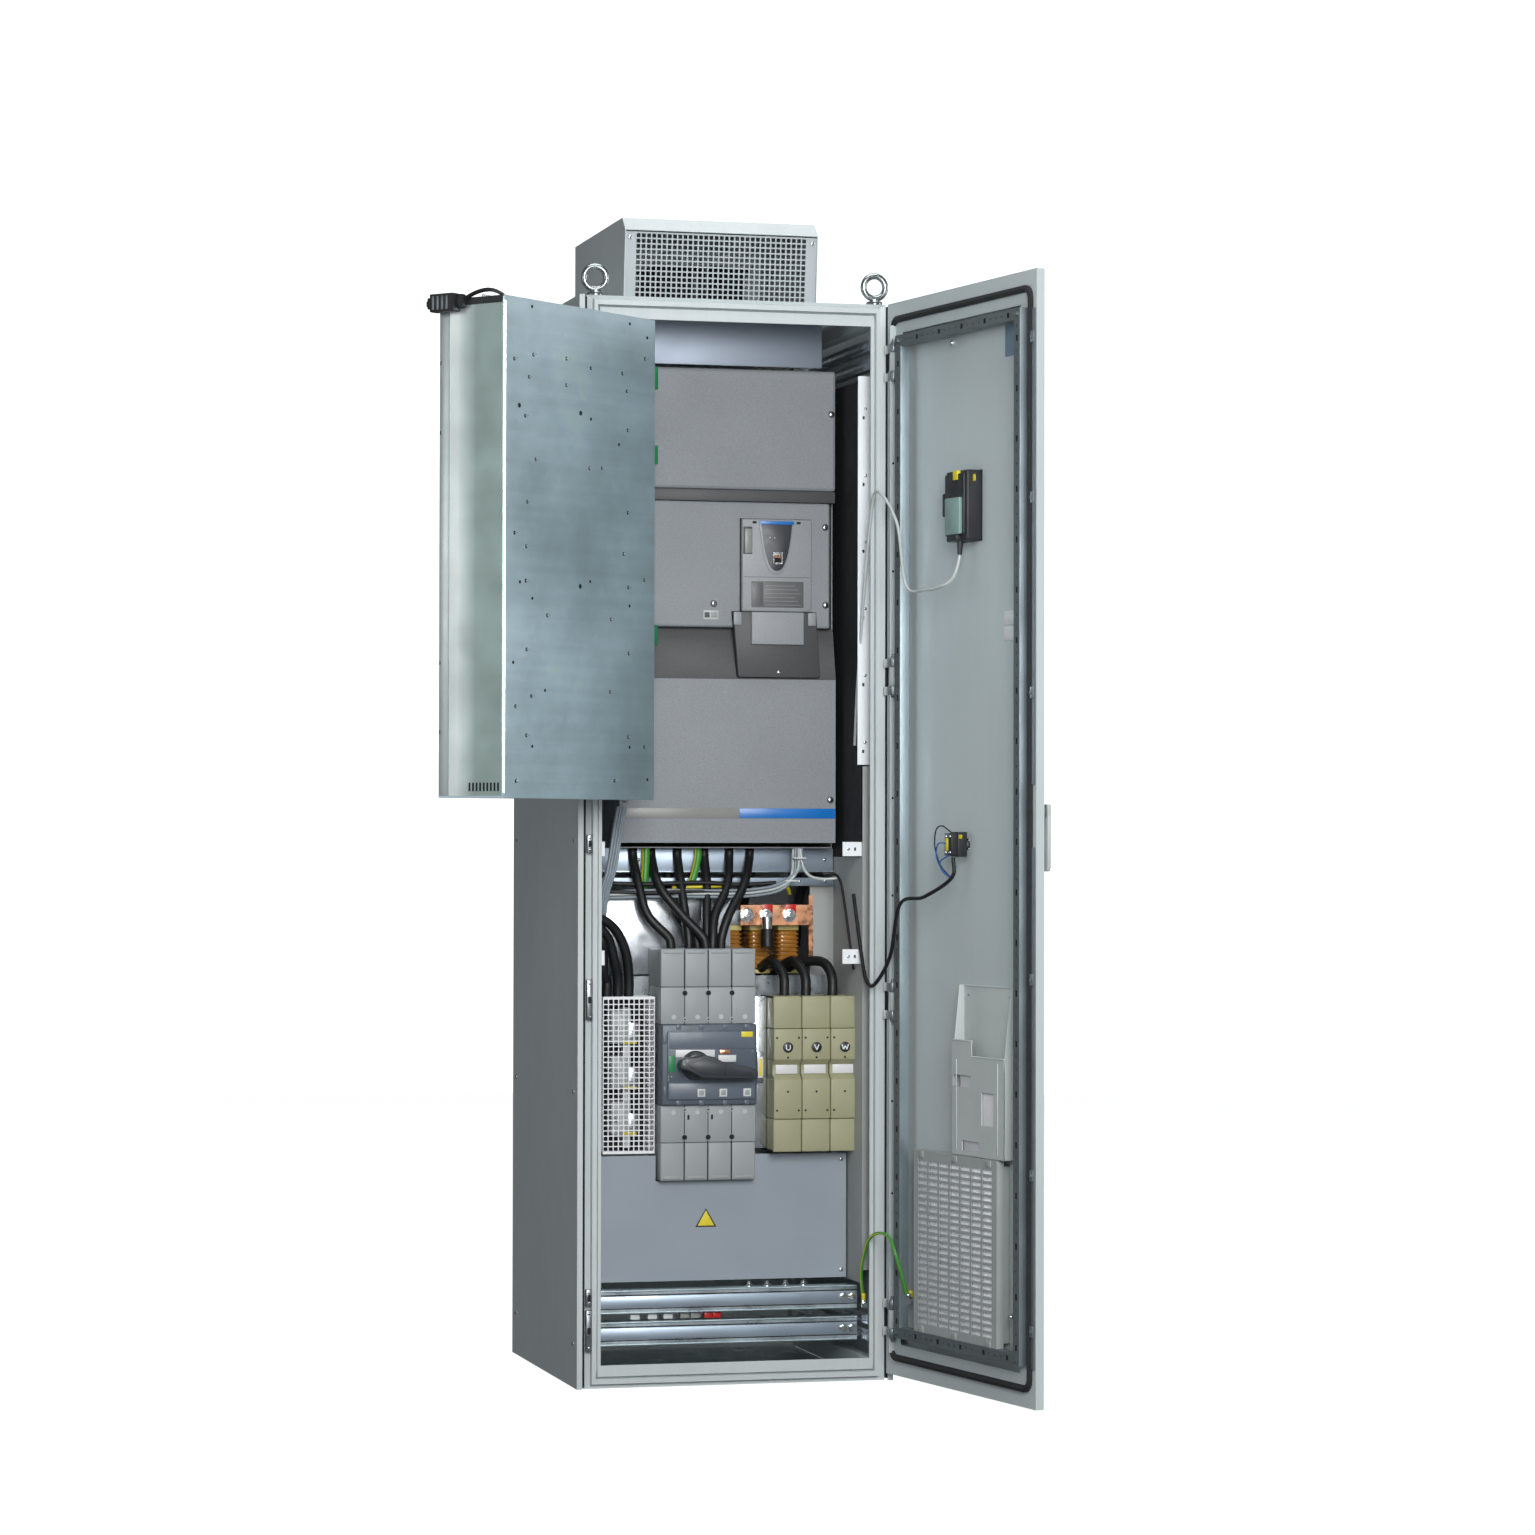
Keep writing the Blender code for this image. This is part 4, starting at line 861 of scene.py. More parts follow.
def keypad_module():
    piece = Piece("keypad_front")
    (left, _, low), (right, back, high) = local_box("keypad_module")
    face = -0.1195
    piece.block((left, face, low), (right, back, high), DRIVE_LIGHT, 0.003, 3)
    piece.block((left + 0.004, face - 0.0006, 1.4985), (right - 0.004, face + 0.001, 1.4993), DRIVE_DARK,
                0.0)
    piece.plate(shield(0.069, 1.606, 1.504, 0.1205), "y", face + 0.0005, face - 0.0016, DRIVE_LIGHT, 0.0005)
    piece.plate(shield(0.06, 1.5985, 1.511, 0.121), "y", face - 0.001, face - 0.0024, SHIELD_DARK, 0.0004)
    piece.block((0.0875, face - 0.0024, 1.5985), (0.1545, face - 0.0005, 1.605), STRIPE_BLUE, 0.0004)
    for x in (0.078, 0.164):
        piece.block((x - 0.004, face - 0.0005, 1.6), (x + 0.004, face + 0.001, 1.6045), HOLE, 0.0005)
    us, vs = [0.1125, 0.115, 0.129, 0.1315], [1.5235, 1.5265, 1.54, 1.546]
    piece.sheet(STEEL, us, vs, upright, face - 0.006, face - 0.002)
    piece.block((0.1145, face - 0.003, 1.5255), (0.1295, face - 0.002, 1.5405), HOLE, 0.0)
    for k in range(8):
        x = 0.1165 + k * 0.0015
        piece.block((x, face - 0.004, 1.535), (x + 0.0007, face - 0.0029, 1.5398), COPPER, 0.0)
    for x in (0.1075, 0.1165):
        piece.disc((x, face - 0.0023, 1.5735), FRONT, 0.0014, 0.001, WHITE_PLASTIC, rim=0.0012, peak=0.0014)
    piece.block((0.056, face - 0.0004, 1.542), (0.0735, face + 0.001, 1.594), DRIVE_DARK, 0.0012)
    piece.block((0.0595, face - 0.001, 1.544), (0.0725, face - 0.0002, 1.59), STRIPE_GREY, 0.0008)
    piece.block((0.072, face - 0.0005, 1.4415), (0.174, face + 0.001, 1.491), LABEL_GREY, 0.0006)
    piece.block((0.074, face - 0.0008, 1.4435), (0.095, face - 0.0004, 1.489), LABEL_GREY, 0.0004)
    for row in range(6):
        bottom, top, end = 1.446 + row * 0.0072, 1.447 + row * 0.0072, 0.169 - 0.006 * (row % 3)
        piece.block((0.0985, face - 0.0007, bottom), (end, face - 0.0004, top), STRIPE_GREY, 0.0)
    for x in (left + 0.007, right - 0.007):
        piece.disc((x, face - 0.0001, 1.4385), FRONT, 0.0024, 0.0008, STRIPE_GREY, 14, rim=0.002,
                   peak=0.001)
    piece.block((left - 0.0012, -0.107, low - 0.0012), (right + 0.0012, -0.1058, high + 0.0012), HOLE,
                0.0004)
    piece.make("cabinet", ["keypad_module"])


def module_flap():
    piece = Piece("module_flap")
    outline = [(0.0368, 1.4325), (0.1987, 1.4325), (0.2068, 1.3125), (0.203, 1.3095), (0.0506, 1.3095),
               (0.0468, 1.3125)]
    grown = [(x + (0.0012 if x > 0.12 else -0.0012), z + (0.0012 if z > 1.37 else -0.0012)) for x,
             z in outline]
    piece.plate(grown, "y", -0.1108, -0.115, HOLE)
    piece.plate(outline, "y", -0.1108, -0.1195, DRIVE_DARK, 0.0015)
    piece.block((0.071, -0.1255, 1.371), (0.1735, -0.1185, 1.4326), DRIVE_LIGHT, 0.002, 3)
    for x in (0.0375, 0.183):
        piece.block((x, -0.1205, 1.408), (x + 0.015, -0.119, 1.432), DRIVE_LIGHT, 0.0008)
    for x in (0.076, 0.1685):
        piece.disc((x, -0.1255, 1.3765), FRONT, 0.0016, 0.0005, DRIVE, rim=0.0014, peak=0.0006)
    screw(piece, (0.126, -0.1195, 1.319), FRONT, 0.0038)
    piece.make("cabinet", ["module_cover"])


# ---------------------------------------------------------------- power section


def switch():
    (left, _, low), (right, _, high) = local_box("switch_body")
    left, right, face = left + 0.0005, right - 0.0005, -0.186
    columns = (-0.0694, -0.0241, 0.0213)
    for end, line in (("upper", 0.727), ("lower", 0.4375)):
        node = f"switch_{end}_cover"
        (_, _, bottom), (_, _, top) = local_box(node)
        cover = Piece(f"switch_{end}")
        switch_cover(cover, left, right, columns, bottom, top, line, end == "upper")
        cover.make("cabinet", [node])
    body = Piece("switch_frame")
    body.block((left, face, low), (right, -0.0755, high), SWITCH_DARK, 0.003, 3)
    body.block((left + 0.01, face - 0.003, low + 0.01), (right - 0.003, face + 0.001, high - 0.012),
               SWITCH_DARK, 0.0015)
    body.block((left + 0.013, face - 0.0038, 0.613), (right - 0.005, face - 0.001, 0.644), SWITCH_BLUE,
               0.0012)
    body.block((left + 0.013, face - 0.0038, 0.519), (right - 0.005, face - 0.001, 0.549), SWITCH_BLUE,
               0.0012)
    body.block((left + 0.013, face - 0.0032, 0.551), (right - 0.005, face - 0.001, 0.6115), SWITCH_DARK,
               0.001)
    for x in (left + 0.003, right - 0.0105):
        body.block((x, face - 0.0022, low + 0.02), (x + 0.006, face + 0.001, low + 0.036), SWITCH_BLUE,
                   0.0008)
        body.block((x, face - 0.0022, high - 0.036), (x + 0.006, face + 0.001, high - 0.02), SWITCH_BLUE,
                   0.0008)
    for x in (-0.088, -0.044, 0.001, 0.043):
        body.block((x, face - 0.002, high - 0.009), (x + 0.009, face + 0.001, high - 0.0005), SWITCH_BLUE,
                   0.0008)
        body.block((x, face - 0.002, low + 0.0005), (x + 0.009, face + 0.001, low + 0.009), SWITCH_BLUE,
                   0.0008)
    tiles = (
        (0.036, 0.058, 0.634, 0.644, YELLOW), (-0.09, -0.015, 0.5975, 0.6108, LABEL),
        (-0.008, 0.026, 0.588, 0.6005, LABEL), (-0.005, 0.014, 0.6025, 0.61, COPPER),
        (-0.1035, -0.0905, 0.57, 0.6005, GREEN),
    )
    for low_x, high_x, low_z, high_z, material in tiles:
        body.block((low_x, face - 0.0046, low_z), (high_x, face - 0.0025, high_z), material, 0.0004)
    for x in (-0.04, 0.002, 0.048):
        body.block((x - 0.008, face - 0.005, 0.523), (x + 0.007, face - 0.003, 0.538), WHITE_PLASTIC, 0.003,
                   3)
        body.block((x - 0.005, face - 0.0054, 0.526), (x + 0.004, face - 0.0045, 0.535), SWITCH_GREY,
                   0.0015)
    for x, z in ((-0.105, 0.56), (-0.099, 0.56), (-0.105, 0.554), (0.056, 0.606)):
        body.block((x, face - 0.004, z), (x + 0.003, face - 0.003, z + 0.0025), STRIPE_GREY, 0.0003)
    body.make("cabinet", ["switch_body"])
    switch_grip()


def switch_cover(piece, left, right, columns, low, high, line, upward):
    """Half of the switch's terminal shields: four bays with screws, pin holes and an outer lip."""
    back, face = -0.0755, -0.175
    edges = [left, *columns, right]
    outer, inner = (high, low) if upward else (low, high)
    sign = 1 if upward else -1
    piece.block((left + 0.001, face + 0.006, low + 0.001), (right - 0.001, back, high - 0.001), SWITCH_GREY,
                0.002)
    for a, b in zip(edges, edges[1:]):
        piece.block((a + 0.0003, face, line + sign * 0.0003), (b - 0.0003, back, outer - sign * 0.0005),
                    SWITCH_GREY, 0.0028, 3)
        piece.block((a + 0.0003, face - 0.001, inner), (b - 0.0003, back, line - sign * 0.0003),
                    SWITCH_GREY, 0.0016, 2)
        piece.block((a + 0.005, face - 0.0012, outer - sign * 0.0095),
                    (b - 0.005, face + 0.004, outer - sign * 0.003), SWITCH_GREY, 0.0022, 3)
        x = (a + b) / 2 + 0.002
        z = inner + sign * 0.013
        piece.add(lathe([(0.0, 0.0), (0.0046, 0.0), (0.0046, 0.0008), (0.0036, 0.0008), (0.0034, 0.0003),
                         (0.0, 0.0003)], (x, face - 0.0011, z), FRONT, 24), PALE_PLASTIC)
    for x in columns:
        z = inner + sign * (0.0575 if upward else 0.06)
        piece.disc((x, face - 0.0011, z), FRONT, 0.006, 0.0007, SWITCH_GREY, 24, rim=0.0056)
        piece.disc((x, face - 0.0017, z), FRONT, 0.0048, 0.0004, HOLE, 24)
        z = inner + sign * 0.0085
        piece.disc((x, face - 0.0011, z), FRONT, 0.0046, 0.0008, SWITCH_GREY, 20, rim=0.0042)
        piece.disc((x, face - 0.0019, z), FRONT, 0.0016, 0.0003, HOLE)
        piece.block((x - 0.0004, face - 0.0011, low + 0.002), (x + 0.0004, face + 0.003, high - 0.002),
                    HOLE, 0.0)
    if not upward:
        for x in columns[:2]:
            piece.block((x + 0.0055, face - 0.0014, inner - 0.027),
                        (x + 0.0095, face - 0.0005, inner - 0.018), HOLE, 0.0004)


def switch_grip():
    """The rotary grip: a hub with a swept lever that tapers away from it."""
    x, z = -0.0525, 0.5825
    piece = Piece("switch_grip")
    hub = [(0.0, 0.0), (0.027, 0.0), (0.027, 0.01), (0.0235, 0.016), (0.02, 0.0175), (0.0, 0.0175)]
    piece.add(lathe(hub, (x, -0.1905, z), FRONT, 36), GRIP)
    outline = [(-0.0905, 0.001), (-0.089, 0.011), (-0.082, 0.015), (-0.06, 0.0165), (-0.042, 0.02),
               (-0.028, 0.017), (-0.01, 0.008), (0.025, 0.001), (0.054, -0.006), (0.0568, -0.01),
               (0.0568, -0.0215), (0.054, -0.0245), (0.02, -0.0235), (-0.02, -0.0225), (-0.048, -0.0215),
               (-0.065, -0.013), (-0.076, -0.008), (-0.088, -0.006)]
    lever = plate([(px, z + pz) for px, pz in outline], "y", -0.207, -0.234, 0.0035)
    piece.add(lever, GRIP)
    inner = [(-0.078, 0.002), (-0.06, 0.01), (-0.042, 0.013), (-0.02, 0.006), (0.02, -0.003),
             (0.048, -0.01), (0.048, -0.018), (0.0, -0.017), (-0.045, -0.015), (-0.062, -0.007)]
    piece.add(plate([(px, z + pz) for px, pz in inner], "y", -0.233, -0.2355, 0.001), GRIP)
    piece.rod((-0.006, -0.2357, z + 0.004), (-0.006, -0.2357, z - 0.018), 0.0004, HOLE, 6)
    for px, pz in ((-0.084, 0.006), (-0.078, 0.012)):
        piece.disc((px, -0.234, z + pz - 0.002), FRONT, 0.002, 0.0006, SWITCH_GREY, rim=0.0018)
    piece.make("main_switch_handle", ["switch_handle"])


def motor_terminals():
    for phase in "uvw":
        (left, face, low), (right, back, high) = local_box(f"motor_terminal_{phase}")
        a, b = left + 0.0002, right - 0.0002
        piece = Piece(f"motor_terminal_cover_{phase}")
        sections = [(0.649, high, face + 0.003), (0.59, 0.6485, face), (0.48, 0.555, face),
                    (low, 0.4795, face + 0.003)]
        for z0, z1, y in sections:
            piece.block((a, y, z0), (b, back, z1), OLIVE, 0.0022, 3)
        piece.plate([(face, 0.5905), (face + 0.014, 0.581), (face + 0.014, 0.5635), (face, 0.5545),
                     (back, 0.5545), (back, 0.5905)], "x", a + 0.0005, b - 0.0005, OLIVE, 0.001)
        piece.block((a + 0.006, face + 0.0115, 0.564), (b - 0.006, face + 0.015, 0.581), LABEL, 0.001)
        middle = (a + b) / 2
        piece.add(lathe([(0.0, 0.0), (0.0098, 0.0), (0.0098, 0.001), (0.009, 0.0016), (0.0, 0.0016)],
                        (middle, face - 0.0001, 0.614), FRONT, 32), BLACK)
        letter(piece, phase, middle, 0.614, face - 0.0018)
        for x, z in ((a + 0.006, 0.632), (b - 0.006, 0.632), (middle, 0.595), (middle, 0.531),
                     (a + 0.006, 0.496), (b - 0.006, 0.496)):
            piece.disc((x, face - 0.0001, z), FRONT, 0.0021, 0.0003, HOLE)
        for z in (high - 0.004, low + 0.0002):
            piece.block((a - 0.0001, face + 0.006, z), (a + 0.008, back + 0.01, z + 0.0038), HOLE, 0.0004)
        piece.make("cabinet", [f"motor_terminal_{phase}"])


def letter(piece, phase, x, z, y):
    """The generic phase mark U, V or W, from straight strokes."""
    lines = {
        "u": [(-0.003, 0.004), (-0.003, -0.002), (-0.001, -0.004),
              (0.001, -0.004), (0.003, -0.002), (0.003, 0.004)],
        "v": [(-0.0035, 0.004), (0.0, -0.004), (0.0035, 0.004)],
        "w": [(-0.005, 0.004), (-0.0025, -0.004), (0.0, 0.002), (0.0025, -0.004), (0.005, 0.004)],
    }
    points = [(x + 1.25 * px, y, z + 1.25 * pz) for px, pz in lines[phase]]
    for start, end in zip(points, points[1:]):
        piece.rod(start, end, 0.0011, WHITE_AND_HIGHLIGHT, 6)


def mesh_guard():
    piece = Piece("mesh_guard_sheet")
    (left, front, low), (right, back, high) = local_box("mesh_guard")
    pitch, hole, edge, thick = 0.0098, 0.0078, 0.001, 0.0012
    us = hole_lines(left, right, pitch, hole, edge)
    vs = hole_lines(low, high, pitch, hole, edge)
    ds = hole_lines(front + thick, back, pitch, hole, edge)
    piece.sheet(MESH_WHITE, us, vs, upright, front, front + thick)
    for x in (left, right - thick):
        piece.sheet(MESH_WHITE, ds, vs, sideways, x, x + thick)
    for z in (low, high - thick):
        piece.sheet(MESH_WHITE, us, ds, level, z, z + thick)
    piece.make("cabinet", ["mesh_guard"])
    fuses = Piece("guarded_terminals")
    for z in (0.45, 0.535, 0.62):
        fuses.block((-0.198, -0.125, z), (-0.16, -0.076, z + 0.062), PALE_PLASTIC, 0.0025)
        fuses.block((-0.184, -0.132, z + 0.006), (-0.174, -0.124, z + 0.05), WHITE_PLASTIC, 0.0015)
        fuses.block((-0.165, -0.1275, z + 0.004), (-0.148, -0.1, z + 0.04), ZINC_BRIGHT, 0.001)
        fuses.block((-0.174, -0.13, z + 0.0), (-0.15, -0.12, z + 0.005), YELLOW, 0.0008)
        hexagon(fuses, (-0.19, -0.125, z + 0.03), FRONT, 0.006, 0.005)
    fuses.block((-0.172, -0.118, 0.425), (-0.16, -0.077, 0.7), WHITE_PLASTIC, 0.0005)
    # A black sheet behind the terminals is painted shade inside the mesh guard.
    fuses.block((-0.218, -0.0765, 0.418), (-0.122, -0.075, 0.707), HOLE, 0.0)
    fuses.make("cabinet")


def guard_plate():
    finish_cad(PLATE_GREY, "lower_cover_plate")
    sign = Piece("plain_triangle")
    x, z, r = -0.022, 0.2895, 0.0235
    corners = [(x + r * math.sin(2 * math.pi * k / 3), z + r * math.cos(2 * math.pi * k / 3))
               for k in range(3)]
    small = [(x + 0.8 * (px - x), z + 0.8 * (pz - z)) for px, pz in corners]
    sign.plate(corners, "y", -0.1516, -0.1521, BLACK, 0.0001)
    sign.plate(small, "y", -0.1519, -0.1524, YELLOW, 0.0001)
    sign.make("cabinet")
    side = Piece("guard_plate_fixings")
    for px, pz in ((-0.226, 0.192), (0.241, 0.192), (0.241, 0.4), (-0.226, 0.4)):
        screw(side, (px, -0.1516, pz), FRONT, 0.004)
    side.block((0.07, -0.148, 0.423), (0.0955, -0.0755, 0.708), ZINC_BRIGHT, 0.001)
    side.block((0.072, -0.169, 0.546), (0.085, -0.148, 0.605), DARK_STEEL, 0.0012)
    side.block((0.073, -0.172, 0.556), (0.0835, -0.1685, 0.596), LABEL, 0.001)
    side.block((0.0755, -0.1728, 0.56), (0.081, -0.1718, 0.592), YELLOW, 0.0005)
    side.block((0.257, -0.14, 0.185), (0.262, -0.09, 0.41), HOLE, 0.0)
    side.make("cabinet")


def choke_and_busbar():
    finish_cad(COPPER, "copper_busbar")
    soften(0.0008, "copper_busbar")
    piece = Piece("line_choke")
    for x in (0.05, 0.106, 0.162):
        piece.block((x - 0.019, -0.056, 0.755), (x + 0.019, 0.02, 0.832), AMBER, 0.008, 4)
        piece.block((x - 0.02, -0.058, 0.83), (x + 0.02, 0.022, 0.84), PALE_YELLOW, 0.0015)
        piece.block((x - 0.02, -0.058, 0.748), (x + 0.02, 0.022, 0.7555), PALE_YELLOW, 0.0015)
        for k in range(9):
            z = 0.76 + k * 0.0078
            piece.add(rounded_loop(x, -0.018, z, 0.02, 0.039, 0.0022), AMBER)
    piece.block((0.025, -0.048, 0.84), (0.187, 0.01, 0.868), DARK_STEEL, 0.001)
    piece.make("cabinet")
    bolts = Piece("busbar_bolts")
    for x, washer in ((0.072, None), (0.11, RED), (0.156, RED)):
        if washer:
            bolts.block((x - 0.008, -0.0892, 0.862), (x + 0.013, -0.0867, 0.88), washer, 0.001)
        bolts.rod((x, -0.0866, 0.86), (x, -0.0886, 0.86), 0.0135, STEEL, 28)
        bolts.rod((x, -0.0886, 0.86), (x, -0.09, 0.86), 0.0115, STEEL, 28)
        hexagon(bolts, (x, -0.09, 0.86), FRONT, 0.01, 0.008)
        bolts.rod((x, -0.098, 0.86), (x, -0.106, 0.86), 0.0055, STEEL, 16)
    bolts.rod((0.11, -0.094, 0.856), (0.11, -0.096, 0.833), 0.011, STEEL, 20, 0.0095)
    bolts.rod((0.11, -0.096, 0.833), (0.11, -0.098, 0.8), 0.012, CABLE_BLACK, 20)
    bolts.make("cabinet")


def rounded_loop(x, y, z, half_x, half_y, radius):
    """One turn of a winding: a thin closed ring of round wire with round corners."""
    points, corner = [], 0.008
    for quarter, (side_x, side_y) in enumerate(((1, 1), (-1, 1), (-1, -1), (1, -1))):
        centre_x, centre_y = side_x * (half_x - corner), side_y * (half_y - corner)
        for k in range(5):
            a = math.radians(90 * quarter + 22.5 * k)
            points.append(Vector((x + centre_x + corner * math.cos(a), y + centre_y + corner * math.sin(a),
                                  z)))
    upward = Vector(UP)
    ahead = [(after - before).normalized() for before,
             after in zip(points[-1:] + points[:-1], points[1:] + points[:1])]
    return closed_tube(points, [way.cross(upward) for way in ahead], upward, radius, 8)


def fixed_cable(piece, points, radius, material, sides=14, stripe=None):
    line = smooth_line(points, max(0.008, radius * 1.2))
    if stripe:
        stripes = [1 if 2 * k // (sides // 3) % 3 == 0 else 0 for k in range(sides)]
        piece.add_striped(tube(line, radius, sides, stripes), material, stripe)
    else:
        piece.add(tube(line, radius, sides), material)


def power_cables():
    """Single-core cables from the drive down to the switch, and from the choke to the motor terminals."""
    top, radius = 0.986, 0.0088
    piece = Piece("line_cores")
    routes = (
        ((-0.142, -0.055), (-0.138, -0.09), (-0.125, -0.11), (-0.085, -0.12)),
        ((-0.105, -0.05), (-0.1, -0.095), (-0.06, -0.115), (-0.02, -0.128)),
        ((-0.055, -0.052), (-0.055, -0.085), (-0.052, -0.105), (-0.048, -0.118)),
        ((-0.002, -0.05), (-0.004, -0.08), (-0.01, -0.102), (-0.012, -0.115)),
        ((0.046, -0.052), (0.034, -0.085), (0.004, -0.112), (-0.004, -0.128)),
        ((0.086, -0.052), (0.066, -0.088), (0.03, -0.115), (0.014, -0.122)),
        ((-0.07, -0.02), (-0.068, -0.045), (-0.06, -0.075), (-0.03, -0.105)),
    )
    for a, b, c, d in routes:
        fixed_cable(piece, [(*a, top), (*a, 0.97), (*b, 0.915), (*c, 0.86), (*d, 0.815), (*d, 0.79)],
                    radius, CABLE_BLACK)
    piece.make("cabinet", ["line_cables"])
    earth = Piece("earth_cores")
    striped = (
        (0.0078, [(-0.118, -0.062, top), (-0.119, -0.064, 0.96), (-0.121, -0.066, 0.915),
                  (-0.112, -0.052, 0.88), (-0.09, -0.02, 0.85)]),
        (0.007, [(-0.016, -0.06, top), (-0.018, -0.064, 0.965), (-0.03, -0.07, 0.925),
                  (-0.044, -0.058, 0.895), (-0.05, -0.02, 0.86)]),
    )
    for earth_radius, points in striped:
        fixed_cable(earth, points, earth_radius, CABLE_GREEN, 12, CABLE_YELLOW)
    across = [(-0.07, -0.074, 0.912), (0.0, -0.08, 0.914), (0.09, -0.08, 0.918), (0.15, -0.072, 0.914),
              (0.166, -0.05, 0.9)]
    fixed_cable(earth, across, 0.0035, CABLE_YELLOW, 10)
    earth.make("cabinet")
    motor = Piece("motor_cores")
    for x, start in ((0.128, 0.112), (0.17, 0.15), (0.222, 0.168)):
        points = [(start - 0.01, -0.02, 0.74), (start, -0.07, 0.765), (x - 0.012, -0.115, 0.772),
                  (x, -0.148, 0.748), (x, -0.155, 0.715), (x, -0.155, 0.7)]
        fixed_cable(motor, points, 0.0095, CABLE_BLACK)
    for x, bend in ((0.104, -0.012), (0.186, 0.014)):
        points = [(x, -0.04, top), (x + bend, -0.03, 0.93), (x + bend, 0.01, 0.88), (x + bend, 0.03, 0.8)]
        fixed_cable(motor, points, 0.0085, CABLE_BLACK)
    motor.make("cabinet", ["motor_cables"])
    arcs = Piece("left_cables")
    for k in range(3):
        grow = 0.021 * k
        points = [(-0.262, -0.165 + grow * 0.3, 0.856 - grow), (-0.225, -0.16, 0.854 - grow),
                  (-0.195 - grow * 0.6, -0.15, 0.832 - grow), (-0.174 - grow, -0.14, 0.79 - grow),
                  (-0.166 - grow, -0.13, 0.74), (-0.166 - grow, -0.125, 0.69)]
        fixed_cable(arcs, points, 0.0092, CABLE_BLACK)
    arcs.make("cabinet")
    control_bundles()


def control_bundles():
    grey = Piece("control_cable_bundles")
    for k in range(7):
        x, y = -0.208 + 0.0052 * (k % 4), -0.15 - 0.006 * (k // 4)
        points = [(x + 0.016, y + 0.004, 1.064), (x + 0.01, y + 0.004, 1.03), (x + 0.002, y, 0.985),
                  (x - 0.006, y, 0.94), (x - 0.016, y + 0.004, 0.905), (x - 0.022, y + 0.01, 0.85),
                  (x - 0.022, y + 0.02, 0.8)]
        fixed_cable(grey, points, 0.0028, CABLE_GREY, 10)
    for k in range(6):
        y, z = -0.088 - 0.0056 * (k % 2), 0.896 + 0.006 * (k // 2)
        points = [(-0.205, y, z - 0.004), (-0.1, y, z - 0.001), (0.02, y, z - 0.002), (0.09, y, z + 0.001),
                  (0.138, y, z + 0.012), (0.16 + 0.003 * k, y, z + 0.04),
                  (0.166 + 0.003 * k, y + 0.01, 0.986)]
        fixed_cable(grey, points, 0.0027, CABLE_GREY if k % 3 else CABLE_CLEAR, 10)
    for z, x in ((0.923, 0.149), (0.966, 0.166)):
        grey.block((x - 0.004, -0.1, z), (x + 0.02, -0.083, z + 0.003), WHITE_PLASTIC, 0.0008)
    clear = [(0.178, -0.085, 0.985), (0.18, -0.092, 0.955), (0.192, -0.1, 0.934), (0.215, -0.11, 0.928),
             (0.245, -0.118, 0.93)]
    fixed_cable(grey, clear, 0.003, CABLE_CLEAR, 10)
    grey.make("cabinet")
    black = Piece("rear_control_cables")
    routes = (
        (0.0045, [(-0.235, -0.084, 0.922), (-0.14, -0.086, 0.918), (-0.02, -0.086, 0.921),
                  (0.06, -0.084, 0.917), (0.13, -0.084, 0.92)]),
        (0.0045, [(-0.235, -0.09, 0.906), (-0.12, -0.095, 0.902), (-0.01, -0.092, 0.905),
                  (0.12, -0.09, 0.902)]),
        (0.005, [(-0.239, -0.15, 0.985), (-0.236, -0.15, 0.93), (-0.23, -0.155, 0.88),
                  (-0.232, -0.15, 0.79), (-0.235, -0.14, 0.72)]),
        (0.0026, [(0.215, -0.112, 0.937), (0.235, -0.118, 0.938), (0.244, -0.13, 0.925),
                  (0.246, -0.155, 0.88), (0.2475, -0.19, 0.8), (0.248, -0.21, 0.76)]),
    )
    for radius, points in routes:
        fixed_cable(black, points, radius, CABLE_BLACK, 10)
    black.make("cabinet")


# ---------------------------------------------------------------- swing tray

# Fixings and holes in the tray's back sheet, measured in the photograph through the fitted camera: the
# distance from the hinge side, then the height.
TRAY_TIPS = (
    (0.444, 1.839), (0.389, 1.851), (0.291, 1.853), (0.217, 1.843), (0.121, 1.842), (0.050, 1.875),
    (0.401, 1.811), (0.291, 1.806), (0.107, 1.811), (0.412, 1.742), (0.104, 1.741), (0.381, 1.668),
    (0.221, 1.664), (0.183, 1.667), (0.405, 1.592), (0.103, 1.592), (0.442, 1.536), (0.408, 1.514),
    (0.116, 1.517), (0.051, 1.473), (0.409, 1.454), (0.101, 1.457), (0.346, 1.396), (0.154, 1.397),
    (0.406, 1.334), (0.099, 1.338), (0.392, 1.253), (0.156, 1.267), (0.438, 1.234), (0.406, 1.184),
    (0.100, 1.187), (0.050, 1.170), (0.436, 1.104), (0.142, 1.108),
)
TRAY_HOLES = (
    (0.393, 1.935), (0.098, 1.934), (0.044, 1.914), (0.429, 1.759), (0.248, 1.760), (0.217, 1.752),
    (0.131, 1.713), (0.248, 1.452), (0.218, 1.462), (0.390, 1.424), (0.097, 1.424), (0.445, 1.310),
    (0.352, 1.264), (0.389, 1.165), (0.096, 1.169), (0.040, 1.111), (0.426, 1.451),
)
LARGE_HOLES = (3, 4, 7)


